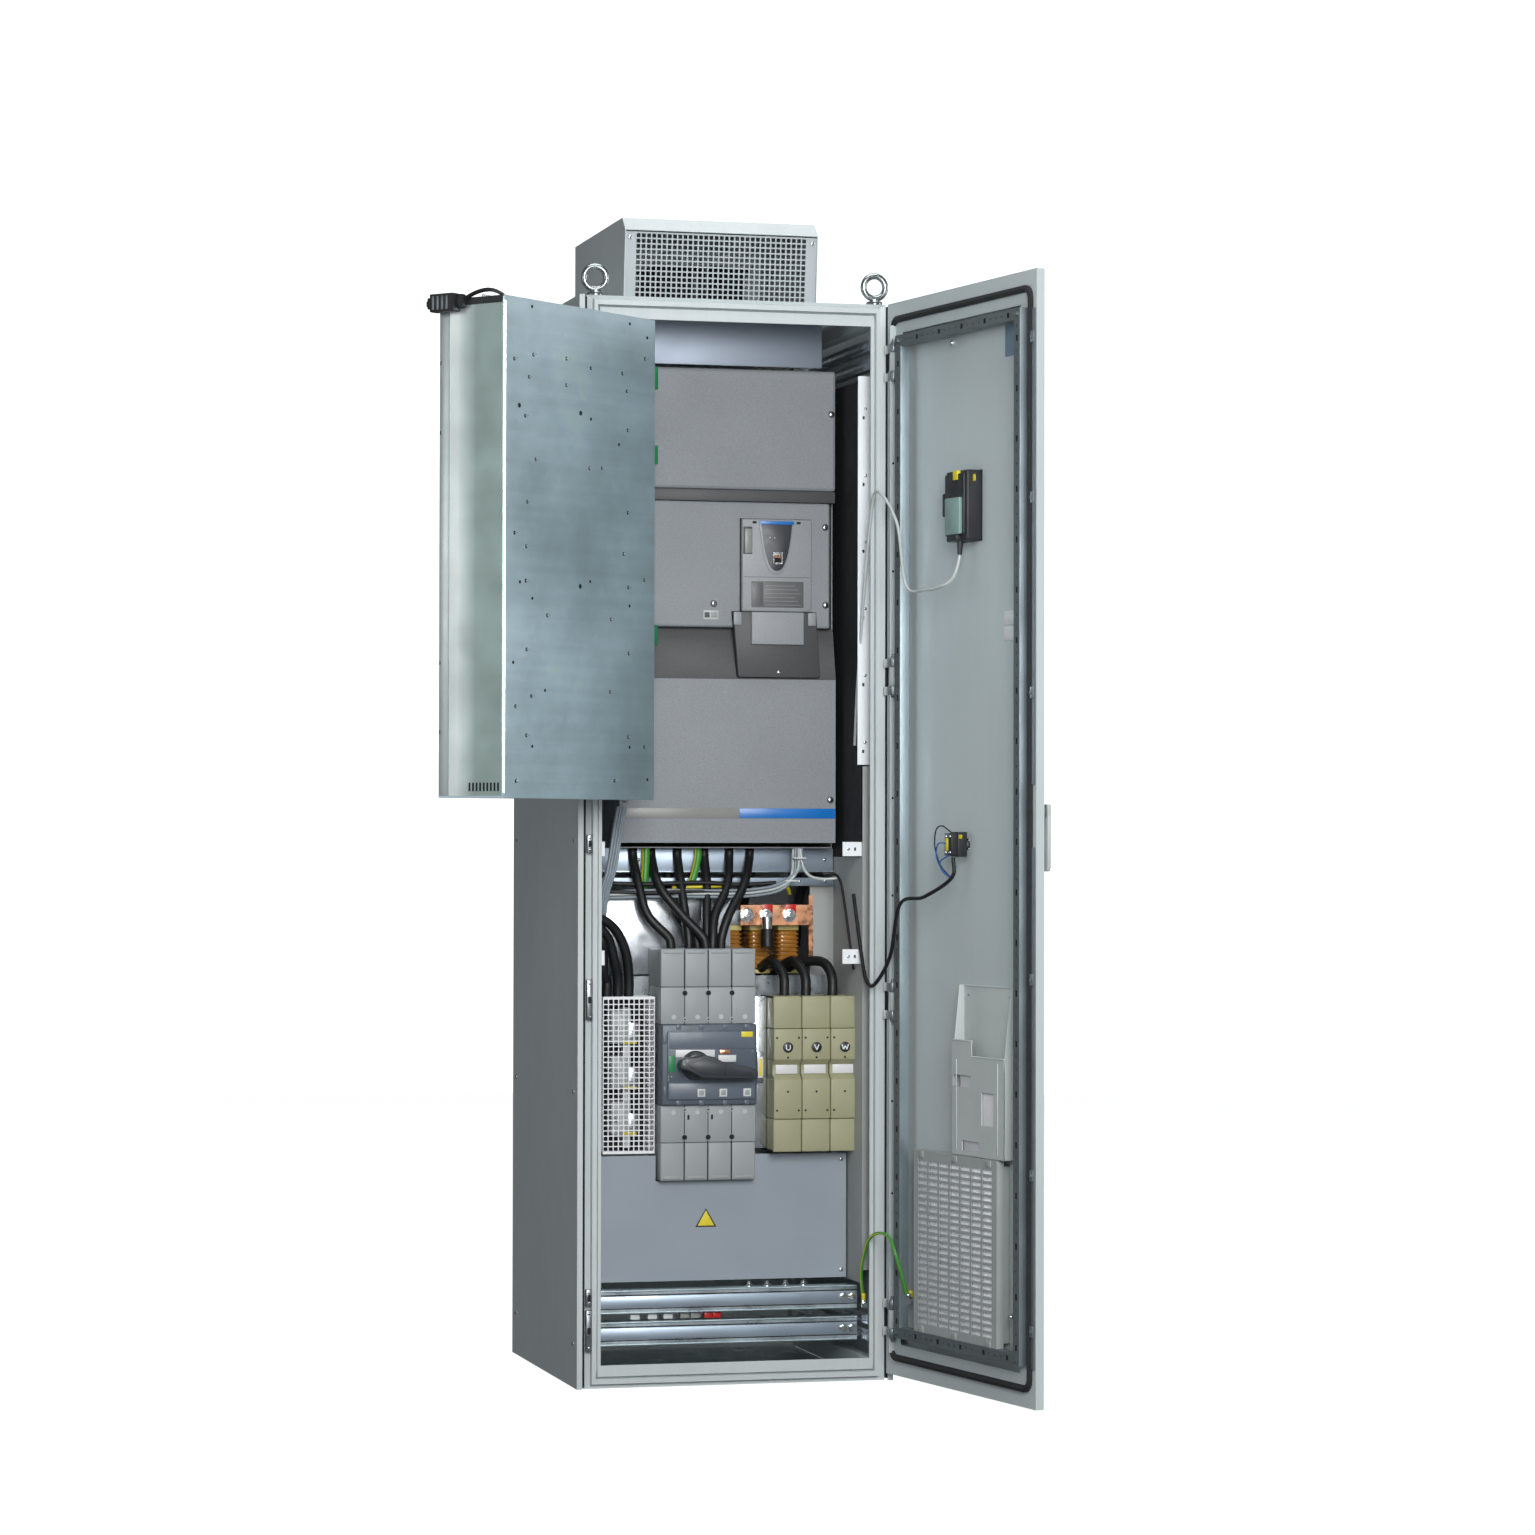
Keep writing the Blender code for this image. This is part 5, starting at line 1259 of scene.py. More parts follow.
def tray():
    finish_cad(TRAY_ZINC, "swing_tray")
    soften(0.001, "swing_tray")
    (_, _, low), (far, back, high) = local_box("swing_tray", TRAY)
    near = 0.0191
    tips = Piece("tray_rear_fixings")
    for x, z in TRAY_TIPS:
        tips.disc((x, back, z), BACK, 0.0036, 0.0002, HOLE)
        tips.rod((x, back, z), (x, back + 0.007, z + 0.0006), 0.0017, STEEL, 8, 0.001)
    for number, (x, z) in enumerate(TRAY_HOLES):
        radius = 0.0044 if number in LARGE_HOLES else 0.003
        tips.disc((x, back, z), BACK, radius, 0.0002, HOLE, 14)
    tips.make("tray", turn=TRAY)
    wall = Piece("tray_free_wall")
    # The free wall is drawn in steps of painted light, from a painted highlight at its front edge to
    # painted shade at the back sheet.
    wall.block((far + 0.0001, -0.0185, low + 0.004), (far + 0.001, 0.002, high - 0.003), TRAY_WALL_PAINTED_LIGHT[1],
               0.0003)
    edges_at = [0.003, 0.024] + [0.024 + 0.005 * k for k in range(1, WALL_STEPS - 1)] + [0.119]
    for start, end, material in zip(edges_at, edges_at[1:], TRAY_WALL_PAINTED_LIGHT):
        wall.block((far + 0.0001, start, low + 0.004), (far + 0.001, end, high - 0.003), material, 0.0)
    # A chamfer strip down the corner with the back sheet, angled to catch the key light and drawn in the
    # brighter zinc as a painted highlight of that edge.
    wall.plate([(far - 0.0014, back + 0.0006), (far + 0.0006, back - 0.0014), (far - 0.0002, back - 0.002),
                (far - 0.002, back - 0.0002)], "z", low + 0.009, high - 0.01, ZINC_BRIGHT)
    # A black band along the top of the wall is the top connector's painted shadow.
    wall.block((far + 0.0011, 0.02, high - 0.013), (far + 0.0018, 0.119, high - 0.0002), BLACK, 0.0)
    for z in (1.8364, 1.7145, 1.3113, 1.1897):
        wall.block((far + 0.0009, -0.018, z - 0.0035), (far + 0.0012, -0.016, z + 0.0035), HOLE, 0.0)
    for k in range(9):
        y = 0.047 + 0.0078 * k
        wall.block((far + 0.0009, y, 1.086), (far + 0.0012, y + 0.004, 1.101), HOLE, 0.0)
    wall.make("tray", turn=TRAY)
    lining = Piece("tray_component_side")
    lining.block((near + 0.003, back - 0.0023, low + 0.003), (far - 0.003, back - 0.0018, high - 0.003),
                 TRAY_LINING, 0.0)
    lining.make("tray", turn=TRAY)
    edges = Piece("tray_edge_parts")
    for z, height in ((1.824, 0.0415), (1.687, 0.0345), (1.356, 0.0378)):
        edges.block((near - 0.018, 0.096, z), (near + 0.001, 0.118, z + height), GREEN, 0.001)
        for k in range(3):
            edges.block((near - 0.0184, 0.098 + 0.006 * k, z + 0.003),
                        (near - 0.0178, 0.101 + 0.006 * k, z + height - 0.003), HOLE, 0.0)
    for z in (1.115, 1.44, 1.6, 1.91):
        edges.block((near - 0.002, 0.05, z), (near + 0.001, 0.09, z + 0.018), ZINC_PALE, 0.0004)
        screw(edges, (near - 0.002, 0.07, z + 0.009), (-1, 0, 0), 0.0036)
    edges.make("tray", turn=TRAY)
    tray_modules()
    tray_connector()
    finish_cad(DARK_STEEL, "tray_hinge_lower", "tray_hinge_upper")


def tray_modules():
    """Terminal and control modules on the tray's rail, seen with the tray's front turned away."""
    piece = Piece("control_modules")
    piece.block((0.06, 0.1131, 1.56), (0.44, 0.1146, 1.595), ZINC_BRIGHT, 0.0004)
    for z in (1.56, 1.5935):
        piece.block((0.06, 0.108, z), (0.44, 0.1141, z + 0.0015), ZINC_BRIGHT, 0.0003)
    x, number = 0.0752, 0
    while x < 0.42:
        width = (0.0222, 0.0222, 0.0448, 0.0175)[number % 4]
        width = min(width, 0.4248 - x)
        body = (SWITCH_GREY, DRIVE_LIGHT, SWITCH_BLUE, PALE_PLASTIC)[number % 4]
        piece.block((x, 0.06, 1.5305), (x + width - 0.0004, 0.1135, 1.6295), body, 0.0012)
        piece.block((x + 0.0006, 0.0362, 1.55), (x + width - 0.001, 0.0605, 1.61), body, 0.0015)
        for z in (1.533, 1.615):
            for k in range(max(1, int(width / 0.0075))):
                left = x + 0.0022 + 0.0073 * k
                piece.block((left, 0.059, z), (left + 0.0048, 0.0612, z + 0.011), GREEN
                            if number % 4 == 3 else HOLE, 0.0004)
        piece.block((x + 0.002, 0.0356, 1.59), (x + width - 0.0024, 0.0364, 1.604), LABEL, 0.0003)
        piece.disc((x + 0.006, 0.0362, 1.562), FRONT, 0.0014, 0.001, GREEN if number % 2 else YELLOW, 10,
                   rim=0.001, peak=0.0012)
        x += width
        number += 1
    piece.make("tray", ["tray_modules"], TRAY)


def tray_connector():
    """The connector block on top of the tray, with its short lead looped back into the tray's roof."""
    piece = Piece("tray_top_connector")
    piece.block((0.4722, -0.026, 1.924), (0.494, 0.026, 1.956), BLACK, 0.0022)
    piece.block((0.476, -0.034, 1.93), (0.49, -0.025, 1.95), BLACK, 0.0016)
    piece.block((0.48, -0.039, 1.935), (0.486, -0.0335, 1.945), BLACK, 0.0012)
    piece.block((0.4722, 0.0255, 1.93), (0.486, 0.04, 1.954), BLACK, 0.003)
    for k in range(4):
        piece.block((0.4938, -0.02 + 0.01 * k, 1.928), (0.4946, -0.015 + 0.01 * k, 1.952), DARK_STEEL,
                    0.0003)
    piece.block((0.33, 0.015, 1.9482), (0.396, 0.03, 1.95), PALE_YELLOW, 0.0003)
    piece.block((0.33, 0.015, 1.949), (0.396, 0.0166, 1.964), ZINC_PALE, 0.0003)
    piece.rod((0.362, 0.0158, 1.956), (0.362, 0.011, 1.956), 0.005, STEEL, 14)
    for k in range(4):
        rise, side = 0.0028 * (k % 2), 0.003 * k
        line = smooth_line([(0.48 - side, 0.039, 1.944 + rise), (0.478 - side, 0.052, 1.951 + rise),
                            (0.474 - side, 0.07, 1.957 + rise), (0.468 - side, 0.088, 1.958 + rise),
                            (0.458 - side, 0.103, 1.952), (0.45 - side, 0.108, 1.942)], 0.006)
        piece.add(tube(line, 0.0021, 8), CABLE_BLACK)
    piece.make("tray", turn=TRAY)


# ---------------------------------------------------------------- door


def door():
    finish_cad(DOOR_PAINT, "door_panel")
    finish_cad(FOAM, "door_gasket")
    finish_cad(ROD_ZINC, "lock_rod_upper", "lock_rod_lower", "handle_yoke")
    stiffener()
    filter_unit()
    document_pocket()
    keypad_holder()
    stop_button()
    outside_handle()
    door_small_parts()


def stiffener():
    """The channel frame round the door's inside: a perforated face between plain zinc walls."""
    piece = Piece("door_stiffener_frame")
    (left, base, low), (right, face, high) = local_box("door_stiffener", DOOR)
    width, wall = 0.02, 0.0015
    low, high = round(low + width, 4), round(high - width, 4)
    across = [0.0, 0.0055, 0.008, 0.012, 0.0145, width]

    def spaced(start, end):
        lines, count = [start], int((end - start - 0.02) / 0.022)
        first = (start + end) / 2 - (count - 1) * 0.011
        for k in range(count):
            half = 0.0055 if k % 4 == 0 else 0.002
            lines += [first + 0.022 * k - half, first + 0.022 * k + half]
        return lines + [end]

    def slot_or_dot(along, across_cell):
        if along % 2 == 0:
            return False
        return across_cell in (1, 2, 3) if (along - 1) // 2 % 4 == 0 else across_cell == 2

    for a in (left, right - width):
        lines = spaced(low, high)
        piece.sheet(CHANNEL_DARK, [a + d for d in across], lines, upright, face - wall, face, lambda i,
                    j: slot_or_dot(j, i))
        piece.block((a + wall, face - 0.0026, low + 0.001), (a + width - wall, face - 0.0018, high - 0.001),
                    HOLE, 0.0)
        for x in (a, a + width - wall):
            piece.block((x, base, low), (x + wall, face - wall, high), CHANNEL, 0.0004)
    for z0 in (low, high - width):
        lines = spaced(left + width, right - width)
        piece.sheet(CHANNEL_DARK, lines, [z0 + d for d in across], upright, face - wall, face, lambda i,
                    j: slot_or_dot(i, j))
        piece.block((left + width, face - 0.0026, z0 + wall),
                    (right - width, face - 0.0018, z0 + width - wall), HOLE, 0.0)
        for z in (z0, z0 + width - wall):
            piece.block((left + width, base, z), (right - width, face - wall, z + wall), CHANNEL_DARK,
                        0.0004)
    for x in (left + 0.01, right - 0.01):
        for z in (low + 0.01, high - 0.01):
            hexagon(piece, (x, face, z), BACK, 0.005, 0.003, DARK_STEEL)
    piece.make("door", ["door_stiffener"], DOOR)


def filter_unit():
    piece = Piece("filter_inside")
    (left, front, low), (right, face, high) = local_box("filter_unit", DOOR)
    base = 0.0084
    us = hole_lines(left + 0.012, right - 0.012, 0.0416, 0.035, 0.003)
    vs = hole_lines(low + 0.012, high - 0.012, 0.012, 0.0078, 0.003)
    us[0], us[-1], vs[0], vs[-1] = left, right, low, high
    piece.sheet(FILTER_GREY, us, vs, upright, face - 0.003, face)
    for a, b in (((left, base, low), (left + 0.003, face - 0.002, high)),
                 ((right - 0.003, base, low), (right, face - 0.002, high)),
                 ((left, base, low), (right, face - 0.002, low + 0.003)),
                 ((left, base, high - 0.003), (right, face - 0.002, high))):
        piece.block(a, b, FILTER_GREY, 0.0012)
    piece.block((left + 0.006, base + 0.004, low + 0.006), (right - 0.006, face - 0.0036, high - 0.006),
                FILTER_MAT, 0.001)
    for x in (-0.449, -0.146):
        piece.block((x, -0.01, 0.116), (x + 0.003, base + 0.004, 0.43), FILTER_GREY, 0.0005)
    for z in (0.116, 0.427):
        piece.block((-0.449, -0.01, z), (-0.143, base + 0.004, z + 0.003), FILTER_GREY, 0.0005)
    for x in (left + 0.03, (left + right) / 2, right - 0.03):
        for z in (low + 0.0015, high - 0.0135):
            piece.block((x - 0.009, face - 0.0005, z), (x + 0.009, face + 0.0018, z + 0.012), FILTER_GREY,
                        0.0012)
    outer_vs = hole_lines(low + 0.016, high - 0.016, 0.015, 0.0085, 0.002)
    outer_us = [left, left + 0.016, right - 0.016, right]
    outer_vs[0], outer_vs[-1] = low, high
    piece.sheet(FILTER_GREY, outer_us, outer_vs, upright, front, front + 0.003)
    for k in range(1, len(outer_vs) - 1, 2):
        piece.block((left + 0.012, front + 0.002, outer_vs[k]),
                    (right - 0.012, front + 0.01, outer_vs[k] + 0.0014), FILTER_GREY, 0.0003)
    for z in (low, high - 0.003):
        piece.block((left, front + 0.002, z), (right, -0.0084, z + 0.003), FILTER_GREY, 0.0008)
    for x in (left, right - 0.003):
        piece.block((x, front + 0.002, low), (x + 0.003, -0.0084, high), FILTER_GREY, 0.0008)
    piece.make("door", ["filter_unit"], DOOR)


def document_pocket():
    """A moulded pocket: tall back sheet, stepped front with slots, ribs down its sides."""
    piece = Piece("document_pocket_moulding")
    (left, _, low), (right, _, high) = local_box("document_pocket", DOOR)
    back, front, thick = -0.0058, 0.021, 0.0022
    piece.block((left, back, low), (right, back + thick, high), PALE_PLASTIC, 0.0008)
    for x in (left, right - thick):
        piece.plate([(back, low), (front, low), (front, 0.6), (back + 0.012, high), (back, high)], "x", x,
                    x + thick, PALE_PLASTIC, 0.0004)
    piece.block((left, back, low), (right, front, low + thick), PALE_PLASTIC, 0.0008)
    xs = [left, -0.472, -0.44, -0.394, -0.385, -0.374, -0.355, -0.353, -0.32, -0.285, right]
    zs = [low, 0.448, 0.467, 0.497, 0.556, 0.562, 0.583, 0.617, 0.6446]

    def opening(i, j):
        middle_x, middle_z = (xs[i] + xs[i + 1]) / 2, (zs[j] + zs[j + 1]) / 2
        if -0.353 < middle_x < -0.285 and 0.562 < middle_z < 0.583:
            return True
        if -0.44 < middle_x < -0.394 and 0.497 < middle_z < 0.556:
            return True
        if -0.385 < middle_x < -0.32 and 0.448 < middle_z < 0.467:
            return True
        return middle_x < -0.355 and middle_z > 0.617

    piece.sheet(PALE_PLASTIC, xs, zs, upright, front - thick, front, opening)
    for x in (-0.456, -0.3):
        piece.block((x, front - 0.0005, low + 0.008), (x + 0.003, front + 0.0012, 0.61), PALE_PLASTIC,
                    0.0006)
    piece.rod((left + 0.001, front - thick / 2, 0.617), (-0.355, front - thick / 2, 0.617), 0.0019,
              PALE_PLASTIC, 12)
    piece.rod((-0.355, front - thick / 2, 0.6446), (right - 0.001, front - thick / 2, 0.6446), 0.0019,
              PALE_PLASTIC, 12)
    piece.rod((left + 0.001, back + 0.0015, high - 0.001), (right - 0.001, back + 0.0015, high - 0.001),
              0.0018, PALE_PLASTIC, 12)
    for x in (left + 0.02, right - 0.02):
        screw(piece, (x, back + thick, high - 0.018), BACK, 0.0036)
    sheets = ((-0.465, -0.296, 0.009, 0.612), (-0.46, -0.305, 0.0145, 0.606))
    for a, b, y, top in sheets:
        piece.block((a, y, low + 0.004), (b, y + 0.0022, top), LABEL, 0.0004)
    piece.make("door", ["document_pocket"], DOOR)


def keypad_holder():
    """The black holder with its adapter and plug inside the door, and the keypad outside it."""
    piece = Piece("keypad_holder_moulding")
    left, right, low, high = -0.343, -0.261, 1.539, 1.665
    piece.block((left, -0.01, low), (right, 0.024, high), BLACK, 0.003, 3)
    piece.block((left + 0.004, 0.0235, low + 0.01), (right - 0.004, 0.029, high - 0.006), BLACK, 0.002)
    piece.block((right - 0.002, 0.0086, low + 0.046), (right + 0.012, 0.026, low + 0.088), BLACK, 0.0025)
    piece.block((left + 0.01, 0.028, 1.55), (right - 0.015, 0.035, 1.616), ADAPTER, 0.0022, 3)
    piece.block((left + 0.017, 0.0346, 1.562), (right - 0.022, 0.0352, 1.608), ADAPTER, 0.0015)
    piece.block((left + 0.024, 0.012, 1.5385), (right - 0.026, 0.033, 1.551), BLACK, 0.002)
    piece.rod((-0.305, 0.018, 1.54), (-0.3045, 0.019, 1.514), 0.0066, BLACK, 20, 0.004)
    piece.block((left + 0.026, 0.024, 1.648), (left + 0.044, 0.03, 1.6645), YELLOW, 0.0002)
    piece.block((left - 0.01, 0.012, 1.644), (left + 0.001, 0.0128, 1.656), YELLOW, 0.0002)
    piece.block((left + 0.006, 0.0289, 1.62), (left + 0.012, 0.0294, 1.656), HOLE, 0.0003)
    piece.block((-0.355, -0.022, 1.51), (-0.249, -0.0084, 1.694), BLACK, 0.004, 3)
    piece.block((-0.345, -0.0232, 1.52), (-0.259, -0.021, 1.684), DRIVE_LIGHT, 0.003, 3)
    piece.block((-0.338, -0.0238, 1.608), (-0.266, -0.0226, 1.67), HOLE, 0.0012)
    piece.block((-0.336, -0.0241, 1.61), (-0.268, -0.0234, 1.668), BLUE_LABEL, 0.0006)
    for row in range(2):
        for column in range(3):
            x, z = -0.327 + 0.025 * column, 1.59 - 0.022 * row
            piece.add(lathe([(0.0, 0.0), (0.0068, 0.0), (0.0062, 0.0016), (0.003, 0.0022), (0.0, 0.0022)],
                            (x, -0.023, z), FRONT, 20), STRIPE_BLUE
                      if (row, column) == (0, 1) else DRIVE_DARK)
    for x, material in ((-0.318, GREEN), (-0.286, RED)):
        piece.disc((x, -0.023, 1.54), FRONT, 0.008, 0.0018, material, 20, rim=0.0072, peak=0.0022)
    piece.make("door", ["keypad_holder"], DOOR)


def stop_button():
    head = Piece("stop_button_head")
    dome = [(0.0, 0.0), (0.0075, 0.0), (0.0075, 0.012), (0.0165, 0.012), (0.0198, 0.0145), (0.02, 0.019),
            (0.0175, 0.0235), (0.01, 0.0255), (0.0, 0.026)]
    head.add(lathe(dome, (-0.287, -0.022, 0.995), FRONT, 40), RED)
    head.rod((-0.287, -0.0225, 0.995), (-0.287, 0.002, 0.995), 0.007, DARK_STEEL, 20)
    head.make("button", ["stop_button"], DOOR)
    collar = Piece("stop_button_contacts")
    ring = [(0.011, 0.0), (0.0145, 0.0), (0.015, 0.002), (0.014, 0.0045), (0.011, 0.005)]
    collar.add(lathe(ring, (-0.287, -0.0084, 0.995), FRONT, 36), BLACK)
    collar.add(lathe([(0.0125, 0.0), (0.03, 0.0), (0.03, 0.001), (0.0125, 0.001)], (-0.287, -0.0083, 0.995),
                     FRONT, 40), YELLOW)
    (left, _, low), (right, _, high) = local_box("contact_block", DOOR)
    collar.block((left, 0.0012, low), (right, 0.02, high), BLACK, 0.0015)
    collar.block((left + 0.001, 0.0195, low + 0.002), (right - 0.016, 0.0325, high - 0.002), BLACK, 0.0012)
    collar.block((left + 0.016, 0.0195, low + 0.002), (right - 0.001, 0.0325, high - 0.002), SWITCH_DARK,
                 0.0012)
    for x in (left + 0.007, left + 0.023):
        for z in (low + 0.008, high - 0.008):
            screw(collar, (x, 0.0325, z), BACK, 0.0026)
    collar.block((left + 0.0145, 0.0322, 0.984), (left + 0.0255, 0.033, 1.006), YELLOW, 0.0003)
    collar.block((left - 0.012, 0.018, 1.005), (left + 0.0005, 0.0188, 1.012), YELLOW, 0.0003)
    collar.make("door", ["contact_block"], DOOR)


def outside_handle():
    (left, _, _), (right, _, high) = local_box("handle_base", DOOR)
    x = (left + right) / 2
    base = Piece("handle_base_moulding")
    base.block((x - 0.016, -0.015, 0.94), (x + 0.016, -0.0084, high), PALE_PLASTIC, 0.003, 3)
    for side in (-1, 1):
        base.block((x + side * 0.016, -0.0198, 0.942), (x + side * 0.0122, -0.013, high - 0.02),
                   PALE_PLASTIC, 0.0012)
    base.block((x - 0.0155, -0.0198, 0.9405), (x + 0.0155, -0.013, 0.946), PALE_PLASTIC, 0.0012)
    base.add(lathe([(0.0092, 0.0), (0.015, 0.0), (0.0146, 0.0042), (0.0092, 0.0045)], (x, -0.015, 1.052),
                   FRONT, 32), PALE_PLASTIC)
    base.make("door", ["handle_base"], DOOR)
    lever = Piece("handle_lever_moulding")
    outline = [(-0.0075, 0.948), (0.0075, 0.948), (0.0104, 0.956), (0.011, 1.053), (-0.011, 1.053),
               (-0.0104, 0.956)]
    lever.plate([(x + px, z) for px, z in outline], "y", -0.0305, -0.0385, PALE_PLASTIC, 0.0024)
    for side in (-1, 1):
        lever.block((x + side * 0.011, -0.038, 1.045), (x + side * 0.0047, -0.03, 1.0658), PALE_PLASTIC,
                    0.0015)
    lever.add(lathe([(0.0, 0.0), (0.0055, 0.0), (0.0055, 0.0004), (0.0048, 0.0006), (0.0, 0.0006)],
                    (x, -0.0384, 0.962), FRONT, 24), STEEL)
    lever.block((x - 0.0005, -0.0393, 0.959), (x + 0.0005, -0.0389, 0.965), HOLE, 0.0)
    lever.make("handle_grip", ["handle_lever"], DOOR)


def door_small_parts():
    """Labels left blank, the rod guides, the clip, the studs and the stop button's wires."""
    piece = Piece("door_small_parts")
    skin = -0.0064
    piece.block((-0.497, skin, 1.858), (-0.43, skin + 0.0006, 1.915), BLUE_LABEL, 0.0002)
    for z in (1.356, 1.384):
        piece.block((-0.487, skin, z), (-0.427, skin + 0.0006, z + 0.024), LABEL, 0.0002)
    piece.block((-0.083, 0.0085, 1.856), (-0.026, 0.01, 1.872), ZINC_BRIGHT, 0.0004)
    piece.block((-0.083, 0.0095, 1.868), (-0.026, 0.018, 1.8695), ZINC_BRIGHT, 0.0003)
    for z in (0.15, 0.42, 0.76, 1.26, 1.6, 1.88):
        piece.block((-0.5715, 0.012, z - 0.01), (-0.56, 0.0145, z + 0.01), ROD_ZINC, 0.0006)
        for side in (-0.0085, 0.0085):
            piece.rod((-0.5655, 0.0082, z + side), (-0.5655, 0.013, z + side), 0.002, ROD_ZINC, 10)
        piece.rod((-0.5655, 0.0145, z), (-0.5655, 0.0165, z), 0.0035, ROD_ZINC, 16)
    for x, z in ((-0.09, 0.168), (-0.487, 0.168), (-0.26, 1.9)):
        hexagon(piece, (x, 0.008, z), BACK, 0.0065, 0.0045)
        piece.rod((x, 0.008, z), (x, 0.016, z), 0.003, STEEL, 12)
    piece.make("door", turn=DOOR)
    wires = Piece("door_button_wires")
    loops = (
        (CABLE_BLUE, [(-0.284, 0.03, 0.996), (-0.264, 0.04, 0.996), (-0.256, 0.04, 0.974),
                      (-0.266, 0.034, 0.95), (-0.284, 0.025, 0.934)]),
        (CABLE_BLUE, [(-0.29, 0.03, 0.976), (-0.272, 0.04, 0.964), (-0.27, 0.036, 0.948),
                      (-0.286, 0.024, 0.932)]),
        (CABLE_BLACK, [(-0.296, 0.03, 1.016), (-0.282, 0.042, 1.028), (-0.262, 0.044, 1.02),
                       (-0.254, 0.042, 0.99), (-0.262, 0.034, 0.956), (-0.282, 0.025, 0.936)]),
    )
    for material, points in loops:
        wires.add(tube(smooth_line(points, 0.004), 0.0013, 8), material)
    wires.make("door", turn=DOOR)


# ---------------------------------------------------------------- cords across the door's hinge


def door_side(along, off, height):
    """A cord's place, off the door's inner sheet and along it from the hinge."""
    return tuple(DOOR @ Vector((-along, 0.008 + off, height)))


def door_cords():
    keypad = [door_side(0.305, 0.01, 1.5375), door_side(0.304, 0.012, 1.505), door_side(0.298, 0.02, 1.474),
              door_side(0.278, 0.03, 1.46), door_side(0.22, 0.036, 1.455), (0.2755, -0.46, 1.467),
              (0.274, -0.405, 1.585), (0.256, -0.337, 1.648), (0.2518, -0.305, 1.59), (0.2512, -0.27, 1.48),
              (0.2512, -0.225, 1.3), (0.2512, -0.205, 1.18)]
    control = [door_side(0.287, 0.014, 0.9715), door_side(0.285, 0.016, 0.935), (0.29, -0.53, 0.9),
               (0.274, -0.43, 0.885), (0.27, -0.38, 0.79), (0.2555, -0.335, 0.738), (0.2505, -0.3, 0.736),
               (0.2505, -0.265, 0.77), (0.2505, -0.2, 0.9)]
    earth = [door_side(0.09, 0.006, 0.17), door_side(0.092, 0.02, 0.212), door_side(0.088, 0.031, 0.252),
             (0.268, -0.375, 0.274), (0.259, -0.335, 0.276), (0.2512, -0.306, 0.262),
             (0.2506, -0.28, 0.236), (0.2506, -0.258, 0.202), (0.255, -0.245, 0.174), (0.259, -0.243, 0.15)]
    leads = (
        ("keypad_lead", "keypad_cable", keypad, 0.003, CABLE_CLEAR, None, "cable_grey"),
        ("control_lead", "control_cable", control, 0.0035, CABLE_BLACK, None, "cable_black"),
        ("earth_lead", "earth_strap", earth, 0.003, CABLE_GREEN, CABLE_YELLOW, "cable_earth"),
    )
    for name, node, points, radius, material, stripe, slot in leads:
        line = smooth_line(points, 0.006)
        piece = Piece(name)
        if stripe:
            stripes = [1 if k % 6 == 4 else 0 for k in range(12)]
            piece.add_striped(tube(line, radius, 12, stripes), material, stripe)
        else:
            piece.add(tube(line, radius, 12), material)
        obj = piece.make(None, [node])
        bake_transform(obj)


# ---------------------------------------------------------------- studio


def glowing(name, grey, strength):
    """A plain white material that glows, and its shader."""
    made, nodes, _ = node_material(name)
    shader = nodes["Principled BSDF"]
    shader.inputs["Base Color"].default_value = (grey, grey, grey, 1)
    shader.inputs["Emission Color"].default_value = (1, 1, 1, 1)
    shader.inputs["Emission Strength"].default_value = strength
    return made, shader


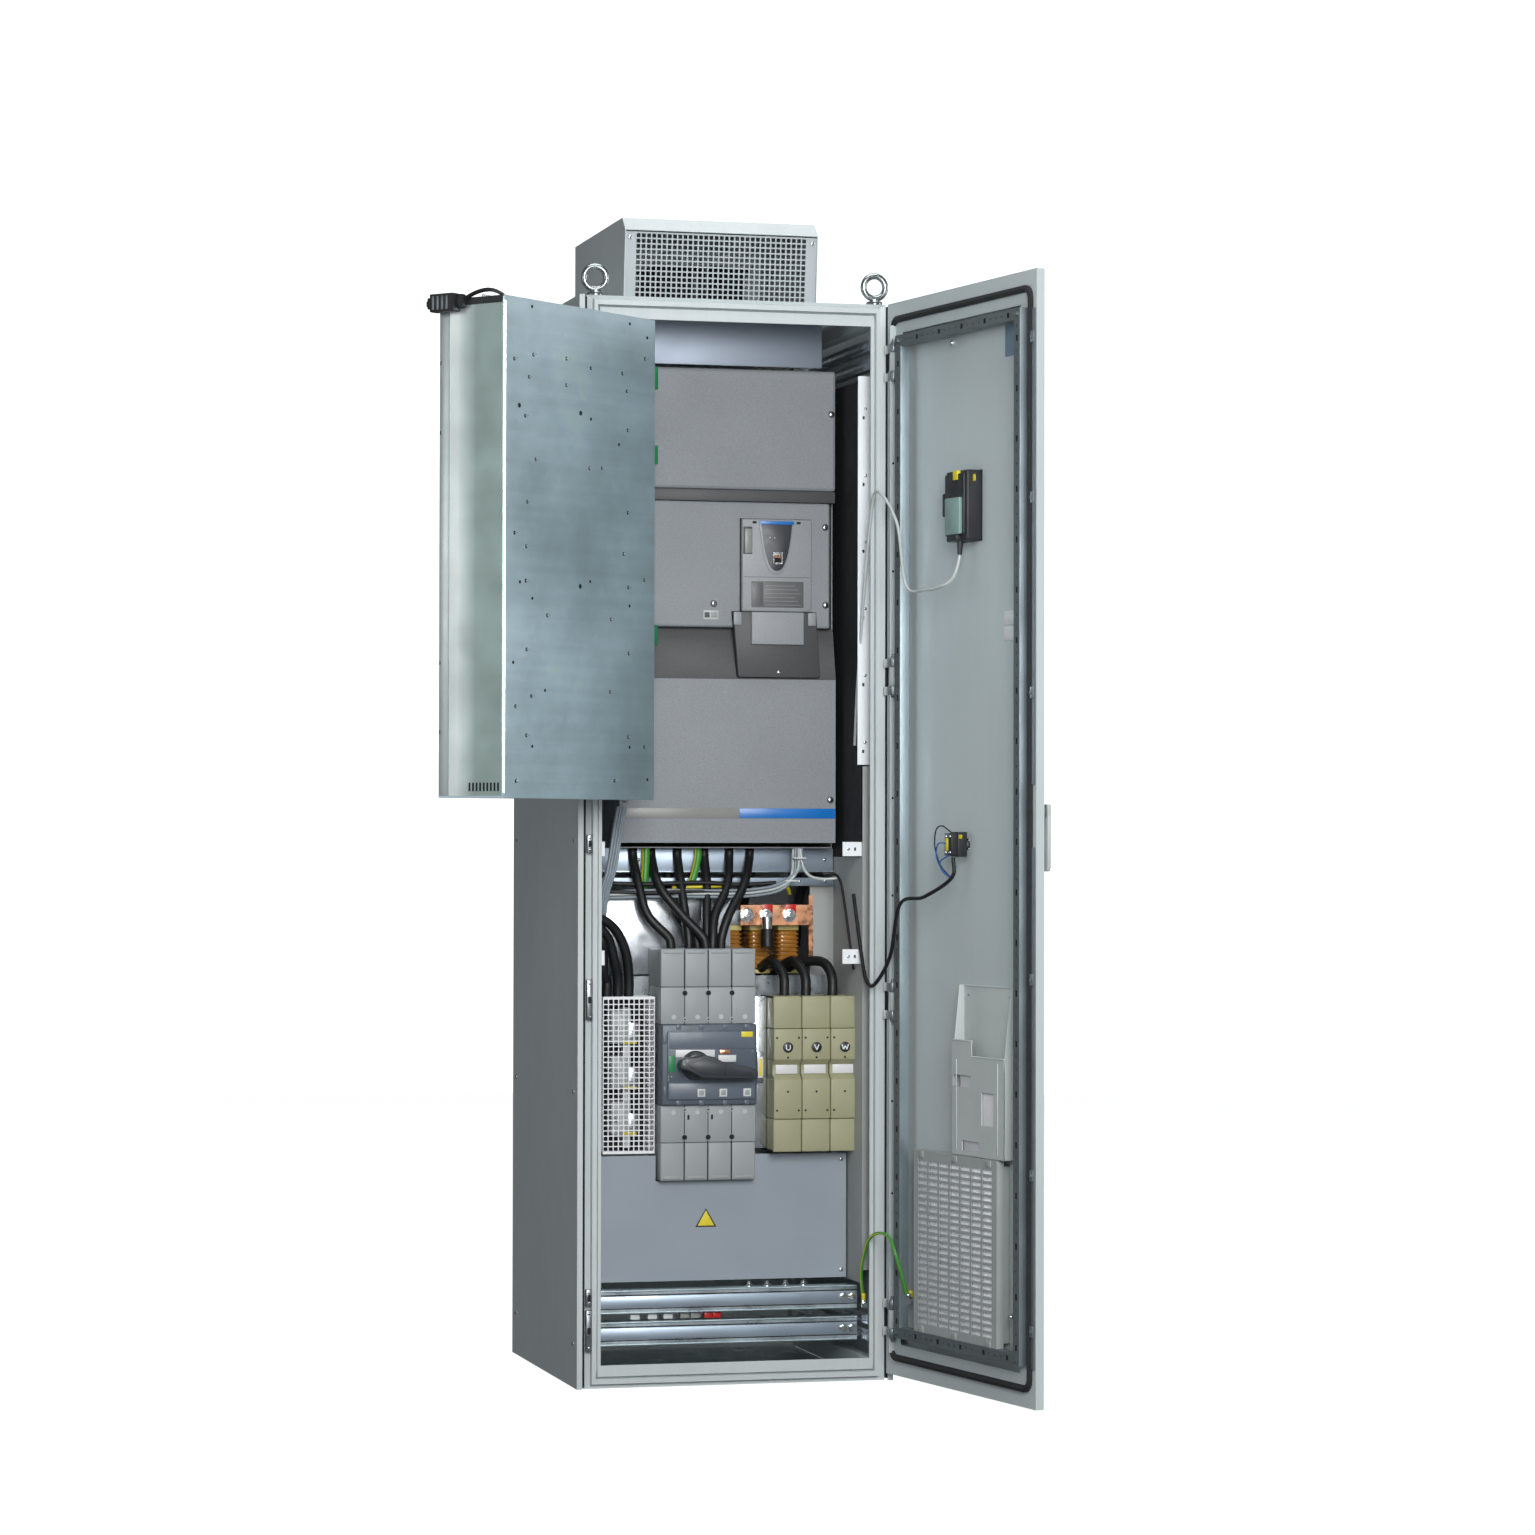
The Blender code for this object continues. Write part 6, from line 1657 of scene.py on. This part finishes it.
def studio():
    scene = bpy.context.scene
    scene.view_settings.view_transform = "Standard"
    world = bpy.data.worlds.new("studio")
    world.use_nodes = True
    background = world.node_tree.nodes["Background"]
    background.inputs["Color"].default_value = (0.93, 0.96, 1.0, 1.0)
    background.inputs["Strength"].default_value = 0.13
    scene.world = world
    area_light("key", (-0.6, -6.5, 2.6), (0.1, 0.0, 1.1), 2.6, 2.6, 245)
    area_light("overhead", (0.2, -0.8, 4.6), (0.0, 0.0, 1.0), 2.2, 2.2, 55)
    area_light("door_fill", (-0.35, -2.7, 1.35), (0.42, -0.55, 1.15), 0.7, 2.2, 16)
    area_light("left_panel", (-6.0, -1.6, 1.9), (-0.4, -0.4, 1.6), 2.4, 3.8, 30, (0.97, 1.0, 0.99))
    area_light("right_fill", (5.0, -2.0, 2.2), (0.0, 0.0, 1.2), 2.0, 2.6, 60, (0.96, 0.98, 1.0))
    area_light("behind_fill", (3.2, 5.0, 3.8), (0.0, 0.0, 1.0), 2.5, 2.5, 90)
    glow, shader = glowing("white_sweep", 0.22, 0.96)
    shader.inputs["Roughness"].default_value = 0.9
    shader.inputs["Specular IOR Level"].default_value = 0.0
    half, radius, height, under, parts = 9.0, 8.9, 9.0, -0.0006, 48
    corners = [(-half, -half, under), (half, -half, under), (half, half, under), (-half, half, under)]
    floor = bpy.data.meshes.new("floor")
    floor.from_pydata(corners, [], [(0, 1, 2, 3)])
    floor.materials.append(glow)
    ground = bpy.data.objects.new("floor", floor)
    bpy.context.collection.objects.link(ground)
    ground.visible_diffuse = False
    ground.visible_glossy = False
    wall = bpy.data.meshes.new("backdrop")
    ring = []
    for k in range(parts + 1):
        x, y = radius * math.cos(2 * math.pi * k / parts), radius * math.sin(2 * math.pi * k / parts)
        ring += [(x, y, under), (x, y, height)]
    faces = [(2 * k, 2 * k + 2, 2 * k + 3, 2 * k + 1) for k in range(parts)]
    wall.from_pydata(ring, [], faces)
    bright, _ = glowing("white_backdrop", 0.9, 1.1)
    wall.materials.append(bright)
    sweep = bpy.data.objects.new("backdrop", wall)
    bpy.context.collection.objects.link(sweep)
    sweep.visible_diffuse = False
    sweep.visible_glossy = False
    sweep.visible_shadow = False


camera()
door_cords()
cabinet()
hood()
eyebolts()
drive()
switch()
motor_terminals()
mesh_guard()
guard_plate()
choke_and_busbar()
power_cables()
tray()
door()
studio()
